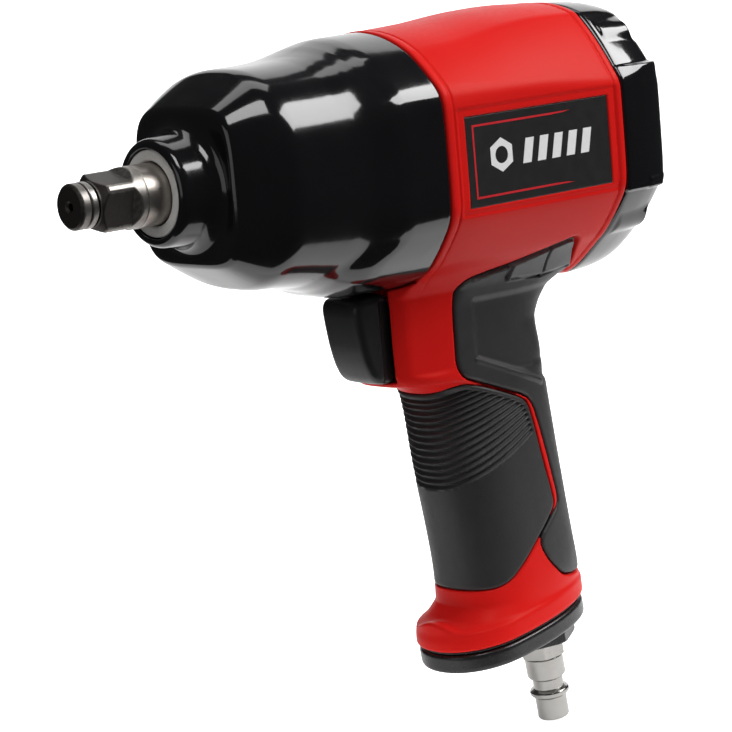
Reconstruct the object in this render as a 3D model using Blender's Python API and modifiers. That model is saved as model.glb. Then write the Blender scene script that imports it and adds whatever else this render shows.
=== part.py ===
"""Pneumatic impact wrench with a 1/2 inch square drive, modelled as it comes apart on a bench.

Frame: +X runs rearwards along the spindle, +Z is up, the handle hangs down.
The origin is the centre of the flat nose face of the square drive.
Dimensions are in millimetres and are scaled to metres when an object is made.
A shape made with a material is a piece; one made without is a hidden helper for booleans.
"""

import math

import bmesh
import bpy
import numpy as np
from mathutils import Matrix, Vector

MM = 0.001
GAP = 0.3  # clearance between neighbouring pieces
X_AXIS = (1, 0, 0)
UP = (0, 0, 1)
ORIGIN = (0, 0, 0)

# ---- driving dimensions -----------------------------------------------------
SQUARE_AF = 12.7  # 1/2 inch drive, across flats
SQUARE_TURN = Matrix.Rotation(0.285, 4, "X")  # the square's rest rotation about the spindle
PILOT_R = 6.1
JOURNAL_R = 8.275  # also the rounded corners of the square
BUSH_OR, BUSH_IR = 11.55, 8.55
BOSS_FACE_X, BUSH_FACE_X = 25.6, 26.2

SEAM_FRONT_X, SEAM_REAR_X = 101.0, 168.35
HOUSING_X0, HOUSING_X1 = SEAM_FRONT_X + GAP / 2, SEAM_REAR_X - GAP / 2
REAR_FACE_X = 189.6
CASE_BORE_R, SEAT_R, MOTOR_BORE_R = 26.2, 26.9, 25.4

CAGE_X0, CAGE_X1 = 46.0, 90.0
WINDOW_X0, WINDOW_X1 = 48.8, 85.5  # inner faces of the cage's ends
HAMMER_PIN_R, HAMMER_PIN_Y = 3.0, 19.0

# The motor stack, from front to rear.
CASE_SEAT_X = 94.1
FRONT_GASKET_X0, FRONT_GASKET_X1 = CASE_SEAT_X + GAP, 94.85
FRONT_PLATE_X0, FRONT_PLATE_X1 = FRONT_GASKET_X1 + GAP, 103.3
CYL_X0, CYL_X1 = FRONT_PLATE_X1 + GAP, 146.0
REAR_PLATE_X0, REAR_PLATE_X1 = CYL_X1 + GAP, 156.6
REAR_GASKET_X0, REAR_GASKET_X1 = REAR_PLATE_X1 + GAP, 157.7
CYL_OR, CYL_BORE_R, CYL_ECC = 25.0, 21.5, 1.5
ROTOR_R, ROTOR_X0, ROTOR_X1 = 19.7, 104.0, 145.6
ROTOR_JOURNAL_R = 5.9
VANES = 6
FRONT_POCKET_X, REAR_POCKET_X = 102.0, 148.2  # floors of the bearing pockets
BEARING_LENGTH, POCKET_R = 6.3, 13.3
DOWEL_X0, DOWEL_X1 = 99.4, 151.3  # ends of the dowel hole
DOWEL_HOLE_R, DOWEL_Z = 1.5, -22.7

SCREWS = ((19.5, 25.0), (-19.5, 25.0), (21.0, -25.0), (-21.0, -25.0))  # (y, z)
SCREW_HOLE_R, SCREW_R = 2.4, 2.0
VALVE_HOLE_R = 12.6
DETENT_Z = 6.6

KEEL_HALF_WIDTH = 22.0
RING_POINTS = 24  # points round the barrel's outlines
HANDLE_POINTS = 20
GRIP_T = 2.8
BASE_SLOPE = 0.13  # tan of the lean of the handle's lower face
BASE_X, BASE_Z = 137.0, -139.6  # a point on that face
LEAN = math.atan(BASE_SLOPE)
DOWN = (math.sin(LEAN), 0.0, -math.cos(LEAN))


def base_height(x):
    return BASE_Z + BASE_SLOPE * (x - BASE_X)


# Axes shared by several parts, as keyword arguments of the shape helpers.
TRIGGER_LINE = {"at": (0, 0, -50)}
THROTTLE_LINE = {"axis": UP, "at": (134, 0, 0)}
EXHAUST_LINE = {"axis": (7.0, 0, -80), "at": (119.0, 0, -62)}
INLET_LINE = {"axis": DOWN, "at": (150.0, 0.0, base_height(150.0))}


# ---- scene and materials ----------------------------------------------------
for old in list(bpy.data.objects):
    bpy.data.objects.remove(old, do_unlink=True)

PARTS = bpy.data.collections.new("impact_wrench")
CUTTERS = bpy.data.collections.new("cutters")
for collection in (PARTS, CUTTERS):
    bpy.context.scene.collection.children.link(collection)


def material(name, color, rough, metal=0.0):
    mat = bpy.data.materials.new(name)
    mat.use_nodes = True
    inputs = mat.node_tree.nodes["Principled BSDF"].inputs
    inputs["Base Color"].default_value = (*color, 1.0)
    inputs["Roughness"].default_value = rough
    inputs["Metallic"].default_value = metal
    mat.diffuse_color = (*color, 1.0)
    return mat


RED = material("red_housing", color=(0.60, 0.014, 0.018), rough=0.38)
BLACK_PAINT = material("black_gloss_paint", color=(0.006, 0.006, 0.007), rough=0.12)
BLACK_PLASTIC = material("black_plastic", color=(0.012, 0.012, 0.013), rough=0.32)
RUBBER = material("grip_rubber", color=(0.022, 0.020, 0.020), rough=0.72)
LABEL = material("label_black", color=(0.010, 0.010, 0.010), rough=0.40)
STEEL = material("machined_steel", color=(0.52, 0.50, 0.48), rough=0.28, metal=1.0)
DARK_STEEL = material("heat_treated_steel", color=(0.13, 0.12, 0.115), rough=0.38, metal=1.0)
NICKEL = material("nickel_plate", color=(0.72, 0.71, 0.68), rough=0.2, metal=1.0)
SINTERED = material("sintered_metal", color=(0.50, 0.49, 0.47), rough=0.5, metal=0.8)
ALUMINIUM = material("aluminium", color=(0.68, 0.68, 0.70), rough=0.35, metal=1.0)
BRASS = material("brass", color=(0.68, 0.46, 0.18), rough=0.32, metal=1.0)
SEAL = material("seal_rubber", color=(0.012, 0.012, 0.012), rough=0.6)
PHENOLIC = material("phenolic_vane", color=(0.16, 0.075, 0.03), rough=0.5)
FELT = material("sintered_filter", color=(0.45, 0.42, 0.36), rough=0.9)


# ---- modelling helpers ------------------------------------------------------
def add(name, mesh, mat):
    """A piece if there is a material, otherwise a hidden helper."""
    obj = bpy.data.objects.new(name, mesh)
    if mat:
        PARTS.objects.link(obj)
        mesh.materials.append(mat)
    else:
        CUTTERS.objects.link(obj)
        obj.hide_render = True
        obj.display_type = "WIRE"
    return obj


def from_bmesh(name, shape, mat=None, smooth=None):
    """smooth is the angle in degrees above which edges stay sharp."""
    bmesh.ops.recalc_face_normals(shape, faces=shape.faces)
    mesh = bpy.data.meshes.new(name)
    shape.to_mesh(mesh)
    shape.free()
    if smooth:
        mesh.shade_smooth()
        mesh.set_sharp_from_angle(angle=math.radians(smooth))
    return add(name, mesh, mat)


def aim(obj, axis, at):
    """Turn the object's Z along the axis and put its origin at the point."""
    rotation = Vector(axis).to_track_quat("Z", "Y").to_matrix().to_4x4()
    obj.matrix_world = Matrix.Translation(Vector(at) * MM) @ rotation


def smooth_table(x, stations, values):
    """Monotone cubic through the knots, held constant beyond both ends."""
    stations, values = np.asarray(stations, float), np.asarray(values, float)
    steps = np.diff(stations)
    slopes = np.diff(values) / steps
    tangents = np.zeros(len(stations))
    tangents[0], tangents[-1] = slopes[0], slopes[-1]
    for i in range(1, len(stations) - 1):
        before, after = slopes[i - 1], slopes[i]
        tangents[i] = 0 if before * after <= 0 else 2 * before * after / (before + after)
    x = min(max(x, stations[0]), stations[-1])
    i = min(int(np.searchsorted(stations, x, side="right")) - 1, len(stations) - 2)
    t = (x - stations[i]) / steps[i]
    return float(
        (2 * t**3 - 3 * t**2 + 1) * values[i]
        + (t**3 - 2 * t**2 + t) * steps[i] * tangents[i]
        + (-2 * t**3 + 3 * t**2) * values[i + 1]
        + (t**3 - t**2) * steps[i] * tangents[i + 1]
    )


def loft(name, rings, mat=None, smooth=None):
    """Closed rings of equal point count, bridged in order, with flat caps."""
    shape = bmesh.new()
    rows = [[shape.verts.new(Vector(p) * MM) for p in ring] for ring in rings]
    count = len(rows[0])
    for near, far in zip(rows, rows[1:]):
        for i in range(count):
            j = (i + 1) % count
            shape.faces.new((near[i], near[j], far[j], far[i]))
    shape.faces.new(rows[0])
    shape.faces.new(list(reversed(rows[-1])))
    return from_bmesh(name, shape, mat, smooth)


def turned(name, profile, mat=None, *, steps, axis=X_AXIS, at=ORIGIN):
    """A profile of (distance along the axis, radius), turned about the axis.

    A profile that starts and ends on the axis stays open; any other is closed on itself.
    """
    count = len(profile)
    edges = [(i, i + 1) for i in range(count - 1)]
    if profile[0][1] != 0 or profile[-1][1] != 0:
        edges.append((count - 1, 0))
    mesh = bpy.data.meshes.new(name)
    mesh.from_pydata([(r * MM, 0.0, along * MM) for along, r in profile], edges, [])
    obj = add(name, mesh, mat)
    screw = obj.modifiers.new("turn", "SCREW")
    screw.axis = "Z"
    screw.angle = 2 * math.pi
    screw.steps = screw.render_steps = steps
    screw.use_merge_vertices = True
    screw.merge_threshold = 1e-6
    screw.use_smooth_shade = True
    aim(obj, axis, at)
    return obj


def tube(name, start, end, r_out, r_in, mat=None, **options):
    profile = ((end, r_out), (start, r_out), (start, r_in), (end, r_in))
    return turned(name, profile, mat, **options)


def o_ring(name, station, radius, wire, **options):
    """A seal ring of hexagonal section."""
    angles = [2 * math.pi * k / 6 for k in range(6)]
    profile = [(station + wire * math.cos(a), radius + wire * math.sin(a)) for a in angles]
    turned(name, profile, SEAL, **options)


def rod(name, start, end, r, mat=None, *, steps, axis=X_AXIS, at=ORIGIN, r_far=None, spin=0.0):
    """A solid bar along the axis, tapered if r_far is given, with its origin at mid length."""
    shape = bmesh.new()
    bmesh.ops.create_cone(
        shape, cap_ends=True, segments=steps, radius1=r * MM,
        radius2=(r if r_far is None else r_far) * MM, depth=(end - start) * MM,
        matrix=Matrix.Rotation(spin, 4, "Z"),
    )
    obj = from_bmesh(name, shape, mat, smooth=35)
    direction = Vector(axis).normalized()
    aim(obj, direction, Vector(at) + direction * (start + end) / 2)
    return obj


def add_block(shape, centre, size, turn=Matrix()):
    """Add a block to the bmesh, turned about the origin after it is placed."""
    place = Matrix.Translation(Vector(centre) * MM)
    scale = Matrix.Diagonal((*(side * MM for side in size), 1.0))
    bmesh.ops.create_cube(shape, size=1.0, matrix=turn @ place @ scale)


def block(name, centre, size, mat=None, turn=Matrix()):
    shape = bmesh.new()
    add_block(shape, centre, size, turn)
    return from_bmesh(name, shape, mat)


def box(name, low, high, mat=None, bevel=0.0, segments=2):
    centre = [(a + b) / 2 for a, b in zip(low, high)]
    obj = block(name, centre, [b - a for a, b in zip(low, high)], mat)
    if bevel:
        mod = obj.modifiers.new("bevel", "BEVEL")
        mod.width = bevel * MM
        mod.segments = segments
    return obj


def poly_curve(name, points, dimensions):
    """A temporary curve object through points in millimetres, and its spline."""
    curve = bpy.data.curves.new(name, "CURVE")
    curve.dimensions = dimensions
    spline = curve.splines.new("POLY")
    spline.points.add(len(points) - 1)
    for target, (x, y, z) in zip(spline.points, points):
        target.co = (x * MM, y * MM, z * MM, 1.0)
    temp = bpy.data.objects.new(name, curve)
    CUTTERS.objects.link(temp)
    return temp, spline


def solidified(temp, name, mat):
    """Replace a curve object by its evaluated mesh, with the caps welded."""
    bpy.context.view_layer.update()
    graph = bpy.context.evaluated_depsgraph_get()
    mesh = bpy.data.meshes.new_from_object(temp.evaluated_get(graph))
    mesh.materials.clear()
    shape = bmesh.new()
    shape.from_mesh(mesh)
    bmesh.ops.remove_doubles(shape, verts=shape.verts, dist=1e-6)
    bmesh.ops.recalc_face_normals(shape, faces=shape.faces)
    shape.to_mesh(mesh)
    shape.free()
    matrix = temp.matrix_world.copy()
    bpy.data.objects.remove(temp, do_unlink=True)
    mesh.name = name
    obj = add(name, mesh, mat)
    obj.matrix_world = matrix
    return obj


def outline(name, points, half_y, mat=None):
    """A flat outline of (x, z), extruded to both sides of y = 0."""
    temp, spline = poly_curve(name, [(x, z, 0.0) for x, z in points], "2D")
    spline.use_cyclic_u = True
    temp.data.fill_mode = "BOTH"
    temp.data.extrude = half_y * MM
    temp.matrix_world = Matrix.Rotation(math.pi / 2, 4, "X")
    return solidified(temp, name, mat)


def coil(name, at, axis, length, radius, wire, turns, mat, per_turn):
    """A spring of round wire, given the wire's radius."""
    count = int(turns * per_turn) + 1
    points = []
    for k in range(count):
        t = 2 * math.pi * k / per_turn
        points.append((radius * math.cos(t), radius * math.sin(t), length * k / (count - 1)))
    temp, _ = poly_curve(name, points, "3D")
    temp.data.bevel_depth = wire * MM
    temp.data.bevel_resolution = 0
    temp.data.use_fill_caps = True
    aim(temp, axis, at)
    solidified(temp, name, mat)


def boolean(obj, other, operation):
    mod = obj.modifiers.new(operation.lower(), "BOOLEAN")
    mod.operation = operation
    mod.object = other
    mod.solver = "EXACT"


def cut(obj, *others):
    for other in others:
        boolean(obj, other, "DIFFERENCE")


def join(obj, *others):
    for other in others:
        boolean(obj, other, "UNION")


def screw_hole(name, i, start, end):
    """The hole of one of the four long screws."""
    return rod(f"{name}_{i}", start, end, SCREW_HOLE_R, at=(0, *SCREWS[i]), steps=8)


# ---- outer shapes -----------------------------------------------------------
# Each table is (stations, values). The exponents belong to superellipses: 2 is round.
BARREL_WIDE = (101, 112, 160, 169), (33.3, 33.9, 33.9, 33.6)
BARREL_TOP = (101, 120, 140, 150, 169), (34.7, 35.4, 37.0, 37.3, 36.4)
BARREL_TOP_EXPONENT = (101, 130, 169), (2.3, 2.6, 2.8)
BARREL_BOTTOM_EXPONENT = (101, 120, 169), (2.6, 2.8, 2.7)
BARREL_KEEL = (108, 135, 160, 169), (0, 1.5, 6.5, 7.0)
BARREL_BOTTOM = 36.0

# Handle stations are depths below the spindle.
HANDLE_FRONT = (
    (20, 34, 45, 60, 63.5, 65.5, 68, 90, 122, 127, 130, 133, 136, 150),
    (96, 94.8, 94.6, 94.8, 96.5, 106, 109.6, 112.7, 117.2, 117.4, 113.5, 109.6, 109.2, 109.2),
)
HANDLE_REAR = (
    (20, 38, 43, 48, 52, 60, 72, 96, 122, 130, 139, 150),
    (165, 164, 159.5, 155.2, 153.6, 154.6, 156.0, 158.9, 162.5, 164.2, 166, 166),
)
HANDLE_WIDE = (
    (20, 34, 45, 60, 70, 100, 124, 132, 140),
    (22, 17.5, 15.4, 15.4, 16, 16, 16, 16.7, 17),
)
HANDLE_EXPONENT = (20, 60, 70, 122, 136), (3.2, 3.2, 2.4, 2.4, 2.1)
HANDLE_FOOT = (122, 139), (0, 1)  # blends from level rings to the leaning foot
FOOT_SHIFT = 9.5  # forward shift of the widest point at the foot

CASE_X = (40, 44, 48, 52, 60, 72, 76, 79, 88, 101)
CASE_WIDE = CASE_X, (23.3, 27.0, 29.2, 29.9, 30.2, 30.6, 31.6, 32.8, 33.1, 33.3)
CASE_TOP = CASE_X, (23.3, 27.2, 29.4, 29.7, 29.8, 30.6, 31.8, 33.0, 33.6, 34.6)
CASE_BOTTOM = CASE_X, (23.2, 26.9, 28.7, 29.4, 30.2, 32.0, 33.4, 34.9, 35.6, 36.1)
CASE_TOP_EXPONENT = (40, 48, 79, 101), (3.0, 2.5, 2.5, 2.3)
CASE_BOTTOM_EXPONENT = (40, 48, 79, 101), (3.0, 2.5, 2.5, 2.6)


def signed_power(value, exponent):
    return math.copysign(abs(value) ** exponent, value)


def yz_ring(x, wide, top, bottom, n_top, n_bottom, keel=0.0):
    """A superelliptic outline across the spindle, with an optional keel below it."""
    ring = []
    for k in range(RING_POINTS):
        t = 2 * math.pi * k / RING_POINTS
        c, s = math.cos(t), math.sin(t)
        exponent = 2 / (n_top if s >= 0 else n_bottom)
        y = wide * signed_power(c, exponent)
        height = top
        if s < 0:
            height = bottom + keel * max(0.0, 1 - abs(y) / KEEL_HALF_WIDTH) ** 0.8
        ring.append((x, y, height * signed_power(s, exponent)))
    return ring


def barrel_ring(x, inset=0.0):
    return yz_ring(
        x,
        smooth_table(x, *BARREL_WIDE) - inset,
        smooth_table(x, *BARREL_TOP) - inset,
        BARREL_BOTTOM - inset,
        smooth_table(x, *BARREL_TOP_EXPONENT),
        smooth_table(x, *BARREL_BOTTOM_EXPONENT),
        smooth_table(x, *BARREL_KEEL),
    )


def case_ring(x, grow=0.0):
    return yz_ring(
        x,
        smooth_table(x, *CASE_WIDE) + grow,
        smooth_table(x, *CASE_TOP) + grow,
        smooth_table(x, *CASE_BOTTOM) + grow,
        smooth_table(x, *CASE_TOP_EXPONENT),
        smooth_table(x, *CASE_BOTTOM_EXPONENT),
    )


def handle_ring(z, inset=0.0):
    """The handle's outline at one height; near its foot the rings lean with the base plate."""
    front = smooth_table(-z, *HANDLE_FRONT) + inset
    rear = smooth_table(-z, *HANDLE_REAR) - inset
    wide = smooth_table(-z, *HANDLE_WIDE) - inset
    exponent = 2 / smooth_table(-z, *HANDLE_EXPONENT)
    foot = smooth_table(-z, *HANDLE_FOOT)
    widest_x = (front + rear) / 2 - FOOT_SHIFT * foot
    ring = []
    for k in range(HANDLE_POINTS):
        t = 2 * math.pi * k / HANDLE_POINTS
        c, s = math.cos(t), math.sin(t)
        half = rear - widest_x if c >= 0 else widest_x - front
        x = widest_x + half * signed_power(c, exponent)
        y = wide * signed_power(s, exponent)
        ring.append((x, y, z + BASE_SLOPE * foot * (x - BASE_X)))
    return ring


# ---- hammer case ------------------------------------------------------------
def build_hammer_case():
    # (x, radius, exponent)
    nose = (
        (BOSS_FACE_X, 13.2, 2), (27.4, 14.5, 2), (33.0, 14.7, 2),
        (35.6, 15.8, 2.1), (37.0, 18.2, 2.4), (38.2, 21.0, 3.0),
    )
    rings = [yz_ring(x, r, r, r, n, n) for x, r, n in nose]
    rings += [case_ring(x) for x in (42.0, 47.5, 54.0, 71.5, 79.0, SEAM_FRONT_X - GAP / 2)]
    case = loft("hammer_case", rings, BLACK_PAINT, smooth=30)
    cavity = (
        (103, 0), (103, SEAT_R), (CASE_SEAT_X, SEAT_R), (CASE_SEAT_X, CASE_BORE_R),
        (46.0, CASE_BORE_R), (44.6, 24.0), (44.3, 22.0),
        (44.3, BUSH_OR + GAP), (20, BUSH_OR + GAP), (20, 0),
    )
    cut(case, turned("cut_case_cavity", cavity, steps=24))
    for i in range(len(SCREWS)):
        cut(case, screw_hole("cut_case_thread", i, 86, 104))


# ---- output shaft -----------------------------------------------------------
def jaw(name, x0, x1, z, wide, high):
    """A block between two stations, turned with the drive square."""
    return block(name, ((x0 + x1) / 2, 0, z), (x1 - x0, wide, high), turn=SQUARE_TURN)


def build_anvil():
    profile = (
        (84.7, 0), (84.7, 8.8), (84.2, 9.3), (45.5, 9.3), (45.5, 11.2), (43.3, 11.2),
        (43.3, JOURNAL_R), (7.9, JOURNAL_R), (6.4, 6.5), (6.2, PILOT_R), (5.7, PILOT_R),
        (5.6, 3.5), (2.9, 3.5), (2.8, PILOT_R), (0.7, PILOT_R), (0, 5.4), (0, 0),
    )
    anvil = turned("anvil", profile, DARK_STEEL, steps=20)
    flats = bmesh.new()
    for k in range(4):
        turn = SQUARE_TURN @ Matrix.Rotation(k * math.pi / 2, 4, "X")
        add_block(flats, (8.6, 0, SQUARE_AF / 2 + 5), (17.8, 11, 10), turn)
    cut(anvil, from_bmesh("cut_square_flats", flats))
    join(anvil, jaw("jaw_1_body", 51.0, 66.4, 6.6, 8.2, 9.8))
    join(anvil, jaw("jaw_2_body", 69.2, 84.2, -6.6, 8.2, 9.8))


def build_socket_retainer():
    ring = tube("socket_retaining_ring", 3.15, 5.35, 6.15, 4.95, STEEL, steps=24)
    cut(ring, box("cut_ring_split", (2, -0.8, -8), (7, 0.8, 0)))
    o_ring("ring_o_ring", 4.25, 4.2, 0.5, steps=16)


def build_anvil_bushing():
    profile = (
        (42.6, BUSH_OR), (26.6, BUSH_OR), (BUSH_FACE_X, BUSH_OR - 0.4),
        (BUSH_FACE_X, BUSH_IR + 0.4), (26.6, BUSH_IR), (42.6, BUSH_IR),
    )
    turned("anvil_bushing", profile, SINTERED, steps=20)


# ---- twin hammer mechanism --------------------------------------------------
def pivot_hole(name, side):
    return rod(name, 40, 98, HAMMER_PIN_R + GAP, at=(0, side * HAMMER_PIN_Y, 0), steps=14)


def build_hammer_cage():
    profile = (
        (94.6, 9.0), (CAGE_X1, 9.0), (CAGE_X1, 24.6), (89.2, 25.4), (46.8, 25.4),
        (CAGE_X0, 24.6), (CAGE_X0, 10.2), (WINDOW_X0, 10.2), (WINDOW_X0, 23.5),
        (WINDOW_X1, 23.5), (WINDOW_X1, 6.3), (94.6, 6.3),
    )
    cage = turned("hammer_cage", profile, STEEL, steps=24)
    for side in (1, -1):
        low, high = sorted((side * 10, side * 30))
        window = box(f"cut_cage_window_{side}", (WINDOW_X0, -19, low), (WINDOW_X1, 19, high))
        cut(cage, window, pivot_hole(f"cut_cage_pin_{side}", side))


def build_hammer_pins():
    for k, side in enumerate((1, -1)):
        rod(
            f"hammer_pin_{k + 1}", CAGE_X0 + GAP, CAGE_X1 - GAP, HAMMER_PIN_R, STEEL,
            at=(0, side * HAMMER_PIN_Y, 0), steps=14,
        )


def build_hammer(name, x0, x1, side):
    """A hammer ring that pivots on the pin at the given side."""
    hammer = tube(name, x0, x1, 22.0, 14.2, DARK_STEEL, steps=24)
    # The pivot pin's half-round groove, and the wide slot that limits the rocking opposite.
    cut(hammer, pivot_hole(f"cut_{name}_pivot", side))
    slot_y = -side * HAMMER_PIN_Y
    low, high = (40, slot_y - 3.9, -6.4), (98, slot_y + 3.9, 6.4)
    cut(hammer, box(f"cut_{name}_slot", low, high, bevel=2.0))
    join(hammer, jaw(f"{name}_striking_jaw", x0, x1, -side * 13.4, 7, 4.4))


# ---- motor ------------------------------------------------------------------
def build_motor_stator():
    """The end plates, the cylinder between them, their dowel pin and both gaskets."""
    tube("front_gasket", FRONT_GASKET_X0, FRONT_GASKET_X1, 26.6, 22.0, SEAL, steps=20)
    front_profile = (
        (FRONT_PLATE_X1, 26.5), (FRONT_PLATE_X0, 26.5), (FRONT_PLATE_X0, POCKET_R),
        (FRONT_POCKET_X, POCKET_R), (FRONT_POCKET_X, 7.0), (FRONT_PLATE_X1, 7.0),
    )
    front_plate = turned("front_end_plate", front_profile, ALUMINIUM, steps=24)

    cylinder = rod("cylinder", CYL_X0, CYL_X1, CYL_OR, STEEL, steps=24)
    cut(cylinder, rod("cut_cylinder_bore", 100, 150, CYL_BORE_R, at=(0, 0, CYL_ECC), steps=30))
    for k in range(4):
        at = (110 + 9 * k, 0, 0)
        cut(cylinder, rod(f"cut_exhaust_port_{k}", 18, 30, 1.8, axis=(0, 1, 0), at=at, steps=10))

    rear_profile = (
        (REAR_PLATE_X1, CYL_OR), (REAR_PLATE_X0, CYL_OR), (REAR_PLATE_X0, 7.0),
        (REAR_POCKET_X, 7.0), (REAR_POCKET_X, POCKET_R), (REAR_PLATE_X1, POCKET_R),
    )
    rear_plate = turned("rear_end_plate", rear_profile, ALUMINIUM, steps=24)
    dowel = {"at": (0, 0, DOWEL_Z), "steps": 12}
    dowel_hole = rod("cut_dowel", DOWEL_X0, DOWEL_X1, DOWEL_HOLE_R, **dowel)
    for part in (front_plate, cylinder, rear_plate):
        cut(part, dowel_hole)
    pin_ends = DOWEL_X0 + GAP, DOWEL_X1 - GAP
    rod("cylinder_dowel_pin", *pin_ends, DOWEL_HOLE_R - GAP, STEEL, **dowel)
    for side in (1, -1):
        # Air ports that lead from the direction valve through the rear plate into the cylinder.
        port_at = (0, side * 10.0, 17.6)
        cut(rear_plate, rod(f"cut_air_port_{side}", 140, 160, 1.6, at=port_at, steps=10))
    tube("rear_gasket", REAR_GASKET_X0, REAR_GASKET_X1, 25.0, 20.5, SEAL, steps=20)


def build_rotor():
    """The rotor with its drive hexagon, and the vanes in its slots."""
    profile = (
        (155.6, 0), (155.6, ROTOR_JOURNAL_R), (ROTOR_X1, ROTOR_JOURNAL_R), (ROTOR_X1, ROTOR_R),
        (ROTOR_X0, ROTOR_R), (ROTOR_X0, ROTOR_JOURNAL_R), (95.0, ROTOR_JOURNAL_R), (95.0, 0),
    )
    rotor = turned("rotor", profile, DARK_STEEL, steps=24)
    join(rotor, rod("rotor_drive_hex", 87.0, 97.0, 5.7, steps=6))
    mid = (ROTOR_X0 + ROTOR_X1) / 2
    for k in range(VANES):
        turn = Matrix.Rotation(2 * math.pi * (k + 0.5) / VANES, 4, "X")
        cut(rotor, block(f"cut_vane_slot_{k + 1}", (mid, 0, 17.0), (50, 2.6, 9.0), turn=turn))
        block(f"vane_{k + 1}", (mid, 0, 16.2), (41.0, 2.0, 6.6), PHENOLIC, turn)


def build_bearing(end, x0):
    x1 = x0 + BEARING_LENGTH
    mid = (x0 + x1) / 2
    r_out, r_in = POCKET_R - GAP, ROTOR_JOURNAL_R + GAP
    outer = ((x1, r_out), (x0, r_out), (x0, 10.9), (mid, 11.6), (x1, 10.9))
    turned(f"{end}_bearing_outer_ring", outer, STEEL, steps=20)
    inner = ((x1, 8.3), (mid, 7.6), (x0, 8.3), (x0, r_in), (x1, r_in))
    turned(f"{end}_bearing_inner_ring", inner, STEEL, steps=20)
    # The balls are joined by a thin ring into one piece.
    balls = tube(f"{end}_bearing_balls", mid - 0.5, mid + 0.5, 10.2, 9.0, BRASS, steps=15)
    ball_set = bmesh.new()
    for k in range(6):
        a = 2 * math.pi * (k + 0.5) / 6
        centre = (mid * MM, 9.6 * MM * math.cos(a), 9.6 * MM * math.sin(a))
        bmesh.ops.create_uvsphere(
            ball_set, u_segments=6, v_segments=4, radius=1.6 * MM,
            matrix=Matrix.Translation(centre),
        )
    join(balls, from_bmesh(f"{end}_ball_set", ball_set))


# ---- rear cover, direction selector -----------------------------------------
def build_rear_cover():
    # (x, half width, top, bottom, top exponent, bottom exponent, keel)
    stations = (
        (SEAM_REAR_X + GAP / 2, 33.4, 36.3, 35.9, 2.8, 2.7, 7.0),
        (176.0, 32.9, 36.0, 35.8, 2.85, 2.7, 7.0),
        (181.0, 31.7, 34.9, 34.8, 2.9, 2.7, 6.8),
        (183.6, 30.2, 33.4, 33.5, 2.9, 2.7, 6.4),
        (184.9, 28.2, 31.4, 31.6, 2.9, 2.7, 6.0),
    )
    cover = loft("rear_cover", [yz_ring(*row) for row in stations], BLACK_PAINT, smooth=30)
    # The raised band across the rear face: (x, half width) and (side, z) of its corners.
    band = (
        (169.2, 31.8), (174.0, 32.9), (184.0, 32.3), (187.6, 30.4), (189.0, 28.9),
        (REAR_FACE_X, 27.0),
    )
    corners = ((1, -17.8), (1, 16.4), (-1, 16.4), (-1, -17.8))
    band_rings = [[(x, side * wide, z) for side, z in corners] for x, wide in band]
    join(
        cover,
        loft("cover_band", band_rings),
        tube("cover_spigot", REAR_GASKET_X1 + GAP, 169.5, 25.0, 20.4, steps=24),
    )
    for i, (y, z) in enumerate(SCREWS):
        join(cover, rod(f"cover_screw_pad_{i}", 174, 185.4, 4.7, at=(0, y, z), steps=12))
        cut(cover, screw_hole("cut_cover_screw", i, 160, 192))
    chamber = (
        (192, 0), (192, 4.3), (176.6, 4.3), (176.6, VALVE_HOLE_R), (150, VALVE_HOLE_R), (150, 0),
    )
    cut(
        cover,
        turned("cut_valve_chamber", chamber, steps=20),
        rod("cut_detent_pocket", 184.0, 192, 1.6, at=(0, 0, DETENT_Z), steps=12),
    )


def build_cover_screws():
    profile = (
        (188.9, 0), (188.9, 3.3), (188.5, 3.6), (185.7, 3.6), (185.7, SCREW_R),
        (89.0, SCREW_R), (88.0, 1.2), (88.0, 0),
    )
    for i, (y, z) in enumerate(SCREWS):
        screw = turned(f"cover_screw_{i + 1}", profile, DARK_STEEL, at=(0, y, z), steps=10)
        cut(screw, rod(f"cut_socket_{i}", 186.9, 192, 2.0, at=(0, y, z), steps=6))


def build_direction_selector():
    """The knob with its lever, the valve in the cover and the spring-loaded detent ball."""
    knob_profile = (
        (195.6, 0), (195.6, 8.6), (195.0, 9.3), (191.2, 9.6), (189.95, 9.2), (189.95, 8.4),
        (191.5, 8.4), (191.5, 4.9), (189.95, 4.9), (189.95, 3.9), (177.0, 3.9), (177.0, 0),
    )
    knob = turned("direction_knob", knob_profile, BLACK_PLASTIC, steps=20)
    join(knob, box("knob_lever", (191.4, -3.0, 5.0), (195.6, 3.0, 14.6), bevel=1.0, segments=1))
    valve_profile = (
        (176.3, 0), (176.3, 12.2), (159.0, 12.2), (159.0, 9.6), (172.0, 9.6), (172.0, 0),
    )
    valve = turned("direction_valve", valve_profile, BRASS, steps=20)
    for side in (1, -1):
        port_line = {"axis": (0, side, 0.9), "at": (166, 0, 0)}
        cut(valve, rod(f"cut_valve_port_{side}", 6, 20, 2.6, **port_line, steps=12))
    ball = bmesh.new()
    bmesh.ops.create_uvsphere(
        ball, u_segments=8, v_segments=6, radius=1.2 * MM,
        matrix=Matrix.Translation((189.7 * MM, 0, DETENT_Z * MM)),
    )
    from_bmesh("detent_ball", ball, STEEL, smooth=60)
    coil(
        "detent_spring", at=(184.35, 0, DETENT_Z), axis=X_AXIS, length=3.7, radius=1.0,
        wire=0.2, turns=3.5, mat=STEEL, per_turn=8,
    )


# ---- motor housing and grips ------------------------------------------------
HOUSING_XS = (HOUSING_X0, 112, 136, 154, HOUSING_X1)
HANDLE_ZS = (-22, -38, -44, -52, -63, -65.6, -68, -96, -125, -129, -133, BASE_Z)
CORE_XS = (HOUSING_X0, 138, HOUSING_X1)
CORE_ZS = (-22, -42, -51, -63, -68, -98, -127, BASE_Z)

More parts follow.
